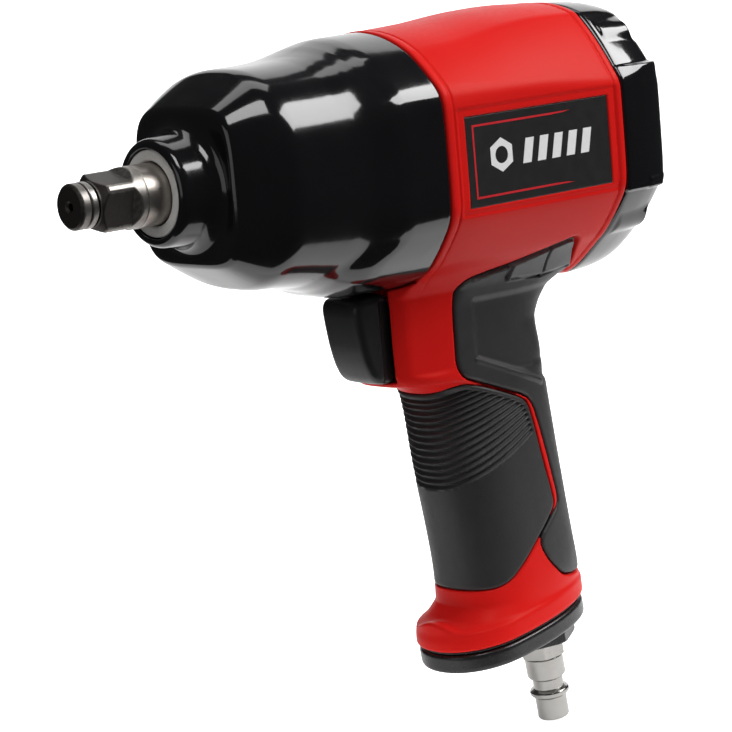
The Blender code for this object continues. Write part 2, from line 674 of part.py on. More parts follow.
# Grip outlines seen from the side, (x, z).
FRONT_GRIP = (
    (100, -68.9), (108, -68.6), (111.1, -67.9), (113.4, -66.2), (117.0, -65.6), (123.1, -67.2),
    (130.5, -70.1), (137.2, -73.0), (139.5, -75.0), (141.6, -82.0), (144.2, -93.0),
    (147.0, -103.0), (147.3, -106.3), (143.6, -110.1), (138.3, -115.3), (133.7, -120.1),
    (128.6, -124.9), (124.1, -126.5), (119.9, -126.7), (100, -126.5),
)
REAR_GRIP = (
    (114.5, -60.0), (114.6, -52.5), (114.9, -42.0), (115.7, -38.6), (118.5, -36.6),
    (125.2, -35.4), (133.4, -34.3), (140.5, -32.9), (148.0, -31.3), (156.0, -29.4),
    (157.8, -30.3), (159.6, -33.0), (162.6, -38.0), (166.0, -43.0), (180, -47.0),
    (180, -128.6), (155.7, -128.2), (150.1, -127.2), (147.7, -125.9), (143.4, -121.7),
    (140.5, -116.8), (140.8, -114.2), (144.9, -110.4), (149.2, -106.7), (149.9, -103.7),
    (147.7, -94.8), (144.2, -82.0), (141.9, -75.3), (139.1, -72.2), (130.7, -68.9),
    (121.8, -65.4), (116.6, -63.3),
)
GRIPS = (("front_grip", FRONT_GRIP), ("rear_grip", REAR_GRIP))

# Round holes in the housing: (name, start, end, radius, steps, placing)
PASSAGES = (
    ("cut_trigger_guide", 100, 117.0, 5.3, 16, TRIGGER_LINE),
    ("cut_trigger_pin", 110, 130.0, 2.6, 12, TRIGGER_LINE),
    ("cut_valve_upper", -64, -42.5, 7.4, 16, {"axis": UP, "at": (136, 0, 0)}),
    ("cut_valve_lower", -96, -59.6, 8.6, 20, THROTTLE_LINE),
    ("cut_air_to_motor", -45, -20, 4.0, 10, {"axis": UP, "at": (138, 0, 0)}),
    ("cut_inlet_passage", 0, 62, 6.3, 14, {"axis": (17.2, 0, -46), "at": (133.6, 0, -90)}),
    ("cut_exhaust_left", -66, -20, 2.6, 8, {"axis": UP, "at": (111.2, -9.2, 0)}),
    ("cut_exhaust_right", -66, -20, 2.6, 8, {"axis": UP, "at": (111.2, 9.2, 0)}),
)
LABEL_X0, LABEL_X1 = 107.7, 162.8
LABEL_Z0, LABEL_Z1 = -14.5, 10.5


def barrel_and_handle(name, handle_name, xs, zs, inset=0.0, mat=None):
    body = loft(name, [barrel_ring(x, inset) for x in xs], mat)
    join(body, loft(handle_name, [handle_ring(z, inset) for z in zs]))
    return body


def core_shape(name, inset):
    return barrel_and_handle(name, name + "_handle", CORE_XS, CORE_ZS, inset)


def grown(points, by):
    """The outline moved outwards by a small distance, for the gap round a grip."""
    followers = points[1:] + points[:1]
    area = sum(a[0] * b[1] - b[0] * a[1] for a, b in zip(points, followers))
    turn = 1 if area > 0 else -1
    result = []
    for before, here, after in zip(points[-1:] + points[:-1], points, followers):
        arriving = (Vector(here) - Vector(before)).normalized()
        leaving = (Vector(after) - Vector(here)).normalized()
        normal = (Vector((arriving.y + leaving.y, -arriving.x - leaving.x)) * turn).normalized()
        edge_normal = Vector((arriving.y, -arriving.x)) * turn
        offset = normal * by / max(0.5, normal.dot(edge_normal))
        result.append((here[0] + offset.x, here[1] + offset.y))
    return tuple(result)


def build_grips():
    outer = barrel_and_handle("shape_outer", "shape_handle", HOUSING_XS, HANDLE_ZS)
    clear_core = core_shape("shape_core_clear", GRIP_T - GAP)
    for name, points in GRIPS:
        grip = outline(name, points, 45.0, RUBBER)
        boolean(grip, outer, "INTERSECT")
        cut(grip, clear_core)


def build_motor_housing():
    housing = barrel_and_handle(
        "motor_housing", "handle_union", HOUSING_XS, HANDLE_ZS, mat=RED,
    )
    core = core_shape("shape_core", GRIP_T)
    for name, points in GRIPS:
        seat = outline(f"cut_{name}", grown(points, GAP), 46.0)
        cut(seat, core)
        cut(housing, seat)

    bore = (
        (170, 0), (170, MOTOR_BORE_R), (CYL_X0, MOTOR_BORE_R), (CYL_X0, SEAT_R),
        (99, SEAT_R), (99, 0),
    )
    room = [case_ring(x, 0.4) for x in (84, 88, 94, SEAM_FRONT_X, HOUSING_X0)]
    cut(
        housing,
        turned("cut_motor_bore", bore, steps=24),
        loft("cut_case_room", room),
        box("cut_case_room_above", (80, -40, -30), (HOUSING_X0, 40, 40)),
        box("cut_trigger_pocket", (80, -8.5, -62.4), (106.3, 8.5, -30)),
    )
    for name, start, end, radius, steps, line in PASSAGES:
        cut(housing, rod(name, start, end, radius, steps=steps, **line))
    cut(
        housing,
        box("cut_exhaust_cross", (108.6, -11.7, -64.5), (123.0, 11.7, -60.4)),
        rod("cut_exhaust_down", 0, 90, 4.3, steps=12, **EXHAUST_LINE),
    )
    for side in (1, -1):
        y0, y1 = sorted((side * 32.2, side * 40))
        low, high = (LABEL_X0, y0, LABEL_Z0), (LABEL_X1, y1, LABEL_Z1)
        cut(housing, box(f"cut_label_{side}", low, high))
    for i in range(len(SCREWS)):
        cut(housing, screw_hole("cut_housing_screw", i, 96, 172))
    return housing


def build_label_plates():
    for name, side in (("label_plate_right", 1), ("label_plate_left", -1)):
        y0, y1 = sorted((side * 32.5, side * 33.1))
        low = (LABEL_X0 + GAP, y0, LABEL_Z0 + GAP)
        box(name, low, (LABEL_X1 - GAP, y1, LABEL_Z1 - GAP), LABEL)


# ---- foot of the handle -----------------------------------------------------
FOOT_CENTRE_X, FOOT_HALF_X, FOOT_HALF_Y = 136.0, 28.0, 17.0


def foot_ring(drop, inset):
    """A ring parallel to the handle's lower face, drop below it."""
    ring = []
    for x, y, _ in handle_ring(BASE_Z):
        x = FOOT_CENTRE_X + (x - FOOT_CENTRE_X) * (1 - inset / FOOT_HALF_X)
        y = y * (1 - inset / FOOT_HALF_Y)
        ring.append((x + DOWN[0] * drop, y, base_height(x) + DOWN[2] * drop))
    return ring


def build_foot(housing):
    """The gasket and base plate, their openings, and the two base screws."""
    gasket = loft("base_gasket", [foot_ring(GAP, 0.9), foot_ring(GAP + 0.5, 0.9)], SEAL)
    plate_rings = ((1.1, 0.6), (1.5, 0.2), (3.6, 0.2), (4.6, 0.7), (5.2, 1.7))  # (drop, inset)
    plate = loft("base_plate", [foot_ring(*row) for row in plate_rings], BLACK_PLASTIC)
    inlet_hole = rod("cut_inlet_hole", -16, 30, 9.0, steps=20, **INLET_LINE)
    cut(housing, rod("cut_inlet_bore", -15.5, 3, 8.6, steps=20, **INLET_LINE))
    cut(plate, inlet_hole)
    cut(gasket, inlet_hole)

    slots = bmesh.new()
    for k in range(3):
        add_block(slots, (119.5 + 5.2 * k, 0, -142), (2.6, 14, 20))
    cut(plate, from_bmesh("cut_exhaust_slots", slots))
    opening_at = (125.0, 0, BASE_Z - 1.6)
    cut(gasket, rod("cut_gasket_exhaust", -6, 10, 7.0, axis=DOWN, at=opening_at, steps=20))

    screw_x = 138.5
    for k, side in enumerate((1, -1)):
        line = {"axis": DOWN, "at": (screw_x, side * 10.4, base_height(screw_x))}
        cut(housing, rod(f"cut_base_thread_{k}", -11, 2, 1.7, steps=12, **line))
        hole = rod(f"cut_base_screw_{k}", -2, 9, 1.9, steps=12, **line)
        cut(gasket, hole)
        cut(plate, hole, rod(f"cut_base_recess_{k}", 2.6, 9, 3.5, steps=14, **line))
        name = f"base_screw_{k + 1}"
        screw = rod(name, 2.9, 4.9, 3.1, DARK_STEEL, steps=14, **line)
        join(screw, rod(f"{name}_shank", -9.5, 3.4, 1.4, steps=12, **line))
        cut(screw, rod(f"cut_base_socket_{k}", 3.9, 6, 1.4, steps=6, **line))


# ---- air inlet --------------------------------------------------------------
# Distances run down the inlet's axis from the handle's lower face.
def build_inlet_bushing():
    bushing = rod(
        "inlet_bushing", 5.6, 11.4, 10.97, BLACK_PAINT, steps=6, spin=math.pi / 6, **INLET_LINE,
    )
    join(bushing, rod("inlet_bushing_thread", -14.0, 7.0, 8.2, steps=20, **INLET_LINE))
    cut(
        bushing,
        rod("cut_bushing_bore", -20, 20, 5.0, steps=20, **INLET_LINE),
        rod("cut_bushing_strainer_seat", -20, -9.5, 6.6, steps=20, **INLET_LINE),
        rod("cut_bushing_seal_seat", 10.2, 20, 6.2, steps=20, **INLET_LINE),
    )
    o_ring("inlet_o_ring", 10.85, 5.4, 0.42, steps=14, **INLET_LINE)


def build_inlet_strainer():
    profile = (
        (-9.9, 6.2), (-13.6, 6.2), (-13.6, 5.2), (-10.7, 5.2), (-10.7, 4.0), (-9.9, 4.0),
    )
    turned("inlet_strainer", profile, BRASS, steps=14, **INLET_LINE)


def build_inlet_nipple():
    profile = (
        (36.0, 3.0), (36.0, 4.2), (35.4, 4.65), (29.4, 4.65), (28.4, 5.85), (27.2, 5.6),
        (26.6, 4.5), (23.6, 4.5), (23.1, 5.6), (16.2, 5.7), (11.7, 5.3), (11.5, 4.6),
        (-4.0, 4.6), (-4.0, 3.0),
    )
    nipple = turned("inlet_nipple", profile, NICKEL, steps=20, **INLET_LINE)
    hexagon = rod("nipple_hex", 11.7, 16.4, 6.9, steps=6, **INLET_LINE)
    cut(hexagon, rod("cut_nipple_hex_bore", 5, 20, 4.0, steps=20, **INLET_LINE))
    join(nipple, hexagon)


# ---- trigger and throttle ---------------------------------------------------
def build_trigger():
    # (x, z)
    side_view = (
        (99.3, -36.9), (90.4, -36.9), (88.6, -38.2), (88.1, -41.0), (88.3, -46.0),
        (89.0, -52.0), (90.2, -56.8), (92.2, -60.0), (95.0, -61.6), (99.3, -62.0),
    )
    trigger = outline("trigger", side_view, 8.0, BLACK_PLASTIC)
    edges = trigger.modifiers.new("edges", "BEVEL")
    edges.width = 1.6 * MM
    edges.segments = 2
    edges.limit_method = "ANGLE"
    edges.angle_limit = math.radians(50)
    cut(trigger, rod("cut_trigger_socket", 93.6, 104, 2.5, steps=16, **TRIGGER_LINE))
    pin = rod("trigger_pin", 94.0, 128.8, 2.2, STEEL, steps=16, **TRIGGER_LINE)
    join(pin, rod("trigger_pin_nose", 128.3, 131.8, 2.2, r_far=1.0, steps=16, **TRIGGER_LINE))
    tube("trigger_bushing", 106.7, 116.7, 5.0, 2.55, BRASS, steps=16, **TRIGGER_LINE)


def build_throttle():
    tube("throttle_seat", -62.9, -59.9, 8.2, 4.5, BRASS, steps=16, **THROTTLE_LINE)
    profile = (
        (-44.4, 0), (-44.4, 1.2), (-44.9, 1.6), (-63.2, 1.6), (-63.2, 6.2), (-65.6, 6.2),
        (-65.6, 0),
    )
    turned("throttle_valve", profile, STEEL, steps=16, **THROTTLE_LINE)
    coil(
        "throttle_spring", at=(134, 0, -79.5), axis=UP, length=12.9, radius=4.6,
        wire=0.5, turns=4.5, mat=STEEL, per_turn=10,
    )


# ---- assembly ---------------------------------------------------------------
build_hammer_case()
build_anvil()
build_socket_retainer()
build_anvil_bushing()
build_hammer_cage()
build_hammer_pins()
build_hammer("hammer_front", 49.7, 67.2, side=1)
build_hammer("hammer_rear", 68.0, 85.1, side=-1)
build_motor_stator()
build_rotor()
build_bearing("front", FRONT_POCKET_X - GAP - BEARING_LENGTH)
build_bearing("rear", REAR_POCKET_X + GAP)
build_rear_cover()
build_cover_screws()
build_direction_selector()
build_grips()
build_foot(build_motor_housing())
build_label_plates()
build_inlet_bushing()
build_inlet_strainer()
build_inlet_nipple()
build_trigger()
build_throttle()
rod("muffler", 62.0, 77.0, 3.9, FELT, steps=12, **EXHAUST_LINE)

bpy.context.view_layer.update()
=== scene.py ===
"""Looks of a pneumatic impact wrench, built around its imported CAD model.

Frame: +X runs rearwards along the spindle, +Z up, the tool's left side is -Y; the origin is the
nose face of the square drive. Shapes are written as signed distances in millimetres and meshed
here, then scaled to metres. Materials, stage, lights and camera are in metres.
"""

import math
from collections import namedtuple
from concurrent.futures import ThreadPoolExecutor

import bmesh
import bpy
import numpy as np
from mathutils import Matrix, Vector


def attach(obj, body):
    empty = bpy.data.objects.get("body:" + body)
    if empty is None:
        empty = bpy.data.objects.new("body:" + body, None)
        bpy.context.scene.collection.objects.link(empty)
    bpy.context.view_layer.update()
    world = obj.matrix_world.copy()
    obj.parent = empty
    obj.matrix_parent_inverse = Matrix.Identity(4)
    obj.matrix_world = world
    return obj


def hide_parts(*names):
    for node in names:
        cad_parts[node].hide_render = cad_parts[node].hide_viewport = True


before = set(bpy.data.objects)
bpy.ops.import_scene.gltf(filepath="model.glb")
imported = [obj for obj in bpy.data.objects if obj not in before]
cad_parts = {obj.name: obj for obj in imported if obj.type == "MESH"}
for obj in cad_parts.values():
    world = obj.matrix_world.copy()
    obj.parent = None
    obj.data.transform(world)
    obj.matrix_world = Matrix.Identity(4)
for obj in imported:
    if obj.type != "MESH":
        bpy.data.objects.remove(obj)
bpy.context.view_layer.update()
COARSE = 1.0
MM = 0.001

# ---- shared dimensions (mm) ----
SEAM_FRONT, REAR_FACE = 101.0, 189.6  # hammer case to housing; back of the rear cover
FRONT_WIDE, FRONT_TOP = 33.3, 34.7  # half width and height of the section at the front seam
REAR_WIDE, REAR_TOP, BARREL_LOW, KEEL = 33.5, 36.4, 36.0, 7.0  # the section at the rear seam
GASKET_BORE = 26.9
# The handle's lower face slopes; it lies at BASE_Z where x is BASE_X.
SLOPE, BASE_X, BASE_Z = 0.13, 137.0, -139.6
LEAN = math.atan(SLOPE)
DOWN = (math.sin(LEAN), 0.0, -math.cos(LEAN))
FOOT_FRONT, FOOT_MID, FOOT_REAR, FOOT_WIDE = 109.2, 128.1, 166.0, 17.0
FOOT_SCREW_Y = 10.4
SCREWS = ((19.5, 25.0), (-19.5, 25.0), (21.0, -25.0), (-21.0, -25.0))  # (y, z)
SCREW_SEAT, SCREW_HEAD = 180.4, 3.2  # x under the heads, and their length
JOURNAL = 8.275  # radius of the output shaft in its bushing
SQUARE_HALF, SQUARE_ANGLE = 6.35, 0.285
LABEL_FRONT, LABEL_BOTTOM, LABEL_REAR, LABEL_TOP = 107.9, -14.35, 162.6, 10.35
LABEL_FACE = 33.0


def on_base(x, y=0.0):
    """The point of the handle's lower face at x, y."""
    return (x, y, BASE_Z + SLOPE * (x - BASE_X))


def lowered(point, distance):
    """The point moved down the handle's axis."""
    return [point[i] + distance * DOWN[i] for i in range(3)]


INLET = on_base(150.0)


# ---- distance functions: negative inside; a last argument blend is a width in mm ----
def table(at, knots, values):
    """Monotone cubic through (knots, values), level beyond its ends."""
    knots, values = np.asarray(knots, float), np.asarray(values, float)
    gaps = np.diff(knots)
    slopes = np.diff(values) / gaps
    tangents = np.zeros(len(knots))
    tangents[0], tangents[-1] = slopes[0], slopes[-1]
    for i in range(1, len(knots) - 1):
        before, after = slopes[i - 1], slopes[i]
        if before * after > 0:
            tangents[i] = 2 * before * after / (before + after)
    at = np.clip(at, knots[0], knots[-1])
    i = np.clip(np.searchsorted(knots, at, side="right") - 1, 0, len(knots) - 2)
    part = (at - knots[i]) / gaps[i]
    return (
        (2 * part**3 - 3 * part**2 + 1) * values[i]
        + (part**3 - 2 * part**2 + part) * gaps[i] * tangents[i]
        + (-2 * part**3 + 3 * part**2) * values[i + 1]
        + (part**3 - part**2) * gaps[i] * tangents[i + 1]
    )


def join(first, second, blend):
    """Smooth union."""
    share = np.clip(0.5 + 0.5 * (second - first) / blend, 0.0, 1.0)
    return second * (1 - share) + first * share - blend * share * (1 - share)


def meet(first, second, blend):
    """Smooth intersection."""
    return -join(-first, -second, blend)


def carve(solid, cut, blend):
    """The solid less the cut, smoothly."""
    return meet(solid, -cut, blend)


def both(*solids):
    """Sharp intersection."""
    result = solids[0]
    for solid in solids[1:]:
        result = np.maximum(result, solid)
    return result


def either(*solids):
    """Sharp union."""
    result = solids[0]
    for solid in solids[1:]:
        result = np.minimum(result, solid)
    return result


def hump(value):
    """1 at value = 0, falling smoothly to 0 at |value| = 1."""
    value = np.clip(np.abs(value), 0, 1)
    return (1 - value * value) ** 2


def ease(value):
    value = np.clip(value, 0, 1)
    return value * value * (3 - 2 * value)


def superellipse(x, y, wide, high, power):
    """About the distance to |x/wide|^power + |y/high|^power = 1."""
    x, y = np.abs(x) / wide, np.abs(y) / high
    total = np.maximum(x**power + y**power, 1e-7)
    level = total ** (1 / power)
    slope = total ** ((1 - power) / power) * np.hypot(
        x ** (power - 1) / wide, y ** (power - 1) / high
    )
    return (level - 1) / np.maximum(slope, 1e-3)


def sides(points):
    """The sides of a closed outline as (start, end)."""
    return zip(points, points[1:] + points[:1])


def chaikin(points, rounds):
    """Rounds an outline by cutting its corners."""
    for _ in range(rounds):
        points = [
            (start[0] * (1 - part) + end[0] * part, start[1] * (1 - part) + end[1] * part)
            for start, end in sides(points)
            for part in (0.22, 0.78)
        ]
    return points


def polygon(x, y, points):
    """Signed distance to a closed outline; far from it, the distance to its bounding box."""
    x, y = np.broadcast_arrays(x, y)
    xs, ys = zip(*points)
    far = both(min(xs) - x, x - max(xs), min(ys) - y, y - max(ys))
    close = far < 4.0
    if not close.all():
        out = far.astype(float)
        if close.any():
            out[close] = polygon(x[close], y[close], points)
        return out
    best = np.full(x.shape, 1e12)
    inside = np.zeros(x.shape, bool)
    for (start_x, start_y), (end_x, end_y) in sides(points):
        run, rise = end_x - start_x, end_y - start_y
        off_x, off_y = x - start_x, y - start_y
        part = np.clip((off_x * run + off_y * rise) / (run * run + rise * rise + 1e-12), 0, 1)
        best = np.minimum(best, (off_x - run * part) ** 2 + (off_y - rise * part) ** 2)
        if end_y != start_y:
            crosses = (start_y <= y) != (end_y <= y)
            inside ^= crosses & (x < start_x + (y - start_y) * run / rise)
    return np.where(inside, -1.0, 1.0) * np.sqrt(best)


def line_gap(x, y, start, end):
    """Distance to a line segment."""
    run, rise = end[0] - start[0], end[1] - start[1]
    part = ((x - start[0]) * run + (y - start[1]) * rise) / (run * run + rise * rise)
    part = np.clip(part, 0, 1)
    return np.hypot(x - start[0] - run * part, y - start[1] - rise * part)


def boxed(x, y, z, low, high, fillet=0.0):
    """A box between two corners."""
    over = [
        np.abs(at - (start + end) / 2) - (end - start) / 2 + fillet
        for at, start, end in zip((x, y, z), low, high)
    ]
    outside = np.sqrt(sum(np.maximum(gap, 0) ** 2 for gap in over))
    return outside + np.minimum(both(*over), 0) - fillet


def hexagon(x, y, across, spin=0.0):
    flats = [
        np.abs(x * math.cos(angle) + y * math.sin(angle)) - across / 2
        for angle in (spin + k * math.pi / 3 for k in range(3))
    ]
    return meet(meet(flats[0], flats[1], 0.25), flats[2], 0.25)


def about_line(x, y, z, start, axis):
    """(distance along, distance from) the line through start along a unit axis."""
    x, y, z = x - start[0], y - start[1], z - start[2]
    along = x * axis[0] + y * axis[1] + z * axis[2]
    return along, np.sqrt(np.maximum(x * x + y * y + z * z - along * along, 1e-9))


def rod(x, y, z, start, axis, radius, length):
    size = math.sqrt(sum(part * part for part in axis))
    along, gap = about_line(x, y, z, start, [part / size for part in axis])
    return both(gap - radius, -along, along - length)


# ---- meshing ----
def sample(field, low, high, cell):
    """Values on a grid; blocks far from the surface keep only their sign."""
    block = 8
    counts = [int(math.ceil((end - start) / cell / block)) for start, end in zip(low, high)]
    low = np.array(low, float)
    centres = [low[i] + (np.arange(counts[i]) * block + (block - 1) / 2) * cell for i in range(3)]
    grid = np.meshgrid(*centres, indexing="ij")
    coarse = field(*(axis.ravel() for axis in grid)).reshape(counts)
    near = np.abs(coarse) < block * cell * 1.15 + 0.3
    values = np.sign(coarse) * 50
    for axis in range(3):
        values = np.repeat(values, block, axis)
    values = values.astype(np.float32)
    within = np.indices((block,) * 3).reshape(3, 1, -1)
    blocks = np.argwhere(near) * block
    for start in range(0, len(blocks), 600):
        i, j, k = (blocks[start : start + 600].T[:, :, None] + within).reshape(3, -1)
        values[i, j, k] = field(low[0] + i * cell, low[1] + j * cell, low[2] + k * cell)
    return values, low


def nets(values, low, cell):
    """Naive surface nets: (vertices, quads)."""
    inside = values < 0
    size = [n - 1 for n in values.shape]
    corners = list(np.ndindex(2, 2, 2))
    total = np.zeros(size, np.uint8)
    for i, j, k in corners:
        total += inside[i : i + size[0], j : j + size[1], k : k + size[2]]
    active = (total > 0) & (total < 8)
    cells = np.argwhere(active)
    value = {corner: values[tuple((cells + corner).T)].astype(float) for corner in corners}

    # Each vertex is the mean of the crossings on its cell's edges.
    place = np.zeros((len(cells), 3))
    count = np.zeros(len(cells))
    for corner in corners:
        for axis in range(3):
            if corner[axis]:
                continue
            other = tuple(1 if i == axis else corner[i] for i in range(3))
            start, end = value[corner], value[other]
            cross = (start < 0) != (end < 0)
            part = np.where(cross, start / np.where(cross, start - end, 1), 0)
            for i in range(3):
                place[:, i] += np.where(cross, corner[i] + (part if i == axis else 0), 0)
            count += cross
    verts = low + (cells + place / count[:, None]) * cell

    # Each crossed grid edge gives a quad between its four cells.
    ids = np.full(size, -1, np.int64)
    ids[active] = np.arange(len(cells))
    quads = []
    for axis in range(3):
        first = [slice(1, n - 1) for n in values.shape]
        first[axis] = slice(0, size[axis])
        second = list(first)
        second[axis] = slice(1, values.shape[axis])
        edges = np.argwhere(inside[tuple(first)] != inside[tuple(second)])
        edges += [span.start for span in first]
        flip = inside[tuple(edges.T)]
        ring = []
        for steps in ((-1, -1), (0, -1), (0, 0), (-1, 0)):
            around = edges.copy()
            around[:, (axis + 1) % 3] += steps[0]
            around[:, (axis + 2) % 3] += steps[1]
            ring.append(ids[tuple(around.T)])
        ring = np.stack(ring, 1)
        ring[~flip] = ring[~flip][:, ::-1]
        quads.append(ring)
    quads = np.concatenate(quads)
    return verts, quads[(quads >= 0).all(1)]


def gradient(field, points, step):
    slopes = np.empty_like(points)
    for i in range(3):
        shift = np.zeros(3)
        shift[i] = step
        slopes[:, i] = (field(*(points + shift).T) - field(*(points - shift).T)) / (2 * step)
    return slopes


def surface(field, low, high, cell, place=None):
    """(vertices, quads, normals) of the zero surface of a field."""
    cell = cell * COARSE
    low = [value - 1.7 * cell for value in low]
    high = [value + 2.3 * cell for value in high]
    values, origin = sample(field, low, high, cell)
    verts, quads = nets(values, origin, cell)
    # Pull the vertices onto the true surface.
    for _ in range(3):
        slopes = gradient(field, verts, 0.15 * cell)
        size = np.maximum((slopes * slopes).sum(1), 0.05)
        step = field(*verts.T) / size
        step = np.clip(step, -0.4 * cell, 0.4 * cell)
        verts = verts - slopes * step[:, None]
    normals = gradient(field, verts, 0.25 * cell)
    normals /= np.maximum(np.linalg.norm(normals, axis=1), 1e-6)[:, None]
    used = np.zeros(len(verts), bool)
    used[quads.ravel()] = True
    if not used.all():
        remap = np.cumsum(used) - 1
        verts, normals, quads = verts[used], normals[used], remap[quads]
    if place is not None:
        turn = np.array(place.to_3x3())
        verts = verts @ turn.T + np.array(place.translation)
        normals = normals @ turn.T
    return verts, quads, normals


WAITING = []


def shape(name, slot, mat, field, low, high, cell, *nodes, body="housing", place=None):
    """Notes a piece down: its field, the corners of its grid and the grid's cell (mm)."""
    WAITING.append((name, body, slot, (field, low, high, cell, place), mat, nodes))


def build_shapes():
    """Makes all noted pieces, several at a time."""
    with ThreadPoolExecutor(4) as pool:
        made = list(pool.map(lambda job: surface(*job[3]), WAITING))
    for (name, body, slot, _, mat, nodes), (verts, quads, normals) in zip(WAITING, made):
        mesh = smooth_mesh(name, verts, quads, normals)
        piece(mesh, mat, body, slot, *nodes)


def smooth_mesh(name, verts, quads, normals):
    mesh = bpy.data.meshes.new(name)
    mesh.vertices.add(len(verts))
    mesh.vertices.foreach_set("co", (verts * MM).astype(np.float32).ravel())
    mesh.loops.add(quads.size)
    mesh.loops.foreach_set("vertex_index", quads.astype(np.int32).ravel())
    mesh.polygons.add(len(quads))
    mesh.polygons.foreach_set("loop_start", np.arange(0, quads.size, 4, dtype=np.int32))
    mesh.update(calc_edges=True)
    mesh.validate()
    mesh.shade_smooth()
    # Validation may drop bad faces; the normals are only set on a whole mesh.
    if len(mesh.polygons) == len(quads):
        mesh.normals_split_custom_set_from_vertices(normals.astype(np.float32))
    return mesh


def link_object(name, data):
    obj = bpy.data.objects.new(name, data)
    bpy.context.scene.collection.objects.link(obj)
    return obj


def piece(mesh, mat, body, slot, *nodes):
    """Puts a mesh on a moving body, in the place of the named CAD nodes."""
    obj = link_object(mesh.name, mesh)
    mesh.materials.append(mat)
    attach(obj, body)
    if nodes:
        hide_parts(*nodes)


# ---- procedural materials: colours are linear RGB ----
Bump = namedtuple("Bump", "height strength depth")  # depth in metres


class Material:
    """A small helper that builds one node material."""

    def __init__(self, name):
        self.mat = bpy.data.materials.new(name)
        self.mat.use_nodes = True
        self.tree = self.mat.node_tree
        self.bsdf = self.tree.nodes["Principled BSDF"]
        self.coord = self.add("ShaderNodeTexCoord").outputs["Object"]

    def add(self, kind, **values):
        node = self.tree.nodes.new(kind)
        for key, value in values.items():
            setattr(node, key, value)
        return node

    def feed(self, socket, value):
        """Gives a socket a colour, a number or another socket's output."""
        if isinstance(value, tuple):
            socket.default_value = (*value, 1.0)
        elif isinstance(value, (int, float)):
            socket.default_value = value
        else:
            self.tree.links.new(value, socket)

    def noise(self, scale, detail=3.0, rough=0.55):
        node = self.add("ShaderNodeTexNoise")
        inputs = ("Vector", self.coord), ("Scale", scale), ("Detail", detail), ("Roughness", rough)
        for key, value in inputs:
            self.feed(node.inputs[key], value)
        return node.outputs["Fac"]

    def ramp(self, value, start=0.3, end=0.7, low=0.0, high=1.0, clamp=True):
        """Maps start..end, by default the usual spread of a noise, to low..high."""
        node = self.add("ShaderNodeMapRange", clamp=clamp)
        keys = ("Value", "From Min", "From Max", "To Min", "To Max")
        for key, given in zip(keys, (value, start, end, low, high)):
            self.feed(node.inputs[key], given)
        return node.outputs["Result"]

    def math(self, operation, *values):
        node = self.add("ShaderNodeMath", operation=operation)
        for socket, value in zip(node.inputs, values):
            self.feed(socket, value)
        return node.outputs[0]

    def times(self, first, second):
        return self.math("MULTIPLY", first, second)

    def dot(self, first):
        """A dot product with one input linked."""
        node = self.add("ShaderNodeVectorMath", operation="DOT_PRODUCT")
        self.feed(node.inputs[0], first)
        return node

    def mix(self, share, first, second):
        node = self.add("ShaderNodeMix", data_type="RGBA")
        self.feed(node.inputs["Factor"], share)
        self.feed(node.inputs[6], first)
        self.feed(node.inputs[7], second)
        return node.outputs[2]

    def axes(self):
        node = self.add("ShaderNodeSeparateXYZ")
        self.feed(node.inputs[0], self.coord)
        return node.outputs

    def bumps(self, *layers):
        """Stacks Bump layers into the surface normal."""
        normal = None
        for layer in layers:
            node = self.add("ShaderNodeBump")
            self.feed(node.inputs["Strength"], layer.strength)
            self.feed(node.inputs["Distance"], layer.depth)
            self.feed(node.inputs["Height"], layer.height)
            if normal is not None:
                self.feed(node.inputs["Normal"], normal)
            normal = node.outputs["Normal"]
        self.feed(self.bsdf.inputs["Normal"], normal)

    def set(self, **values):
        for key, value in values.items():
            self.feed(self.bsdf.inputs[key.replace("_", " ")], value)
        return self.mat


def red_nylon():
    mat = Material("red_nylon")
    patches = mat.noise(38, detail=2)
    grain = mat.noise(2600, detail=2, rough=0.6)
    color = mat.mix(patches, (0.545, 0.0100, 0.0085), (0.610, 0.0125, 0.0105))
    mat.bumps(
        Bump(grain, strength=0.10, depth=0.00008),
        Bump(mat.noise(300, detail=2), strength=0.04, depth=0.0004),
    )
    rough = mat.math(
        "ADD", mat.ramp(mat.noise(900), low=0.33, high=0.40), mat.ramp(patches, low=-0.02, high=0.02)
    )
    return mat.set(
        Base_Color=color, Roughness=rough, Specular_IOR_Level=0.06, Specular_Tint=(1.0, 0.72, 0.55)
    )


def black_paint():
    mat = Material("black_gloss_paint")
    mat.bumps(
        Bump(mat.noise(210, detail=2), strength=0.05, depth=0.0005),
        Bump(mat.noise(900, detail=2), strength=0.035, depth=0.00012),
    )
    rough = mat.ramp(mat.noise(120, detail=4), low=0.10, high=0.15)
    color = mat.mix(mat.noise(60), (0.0035, 0.0035, 0.0042), (0.0060, 0.0060, 0.0068))
    return mat.set(
        Base_Color=color, Roughness=rough, Specular_IOR_Level=0.5,
        Coat_Weight=0.35, Coat_Roughness=0.05,
    )


def black_plastic(name, rough):
    mat = Material(name)
    mat.bumps(Bump(mat.noise(2400, detail=2, rough=0.6), strength=0.14, depth=0.0001))
    rough = mat.ramp(mat.noise(500), low=rough - 0.03, high=rough + 0.06)
    color = mat.mix(mat.noise(45, detail=2), (0.0085, 0.0085, 0.0092), (0.0125, 0.0125, 0.0132))
    return mat.set(Base_Color=color, Roughness=rough, Specular_IOR_Level=0.45)


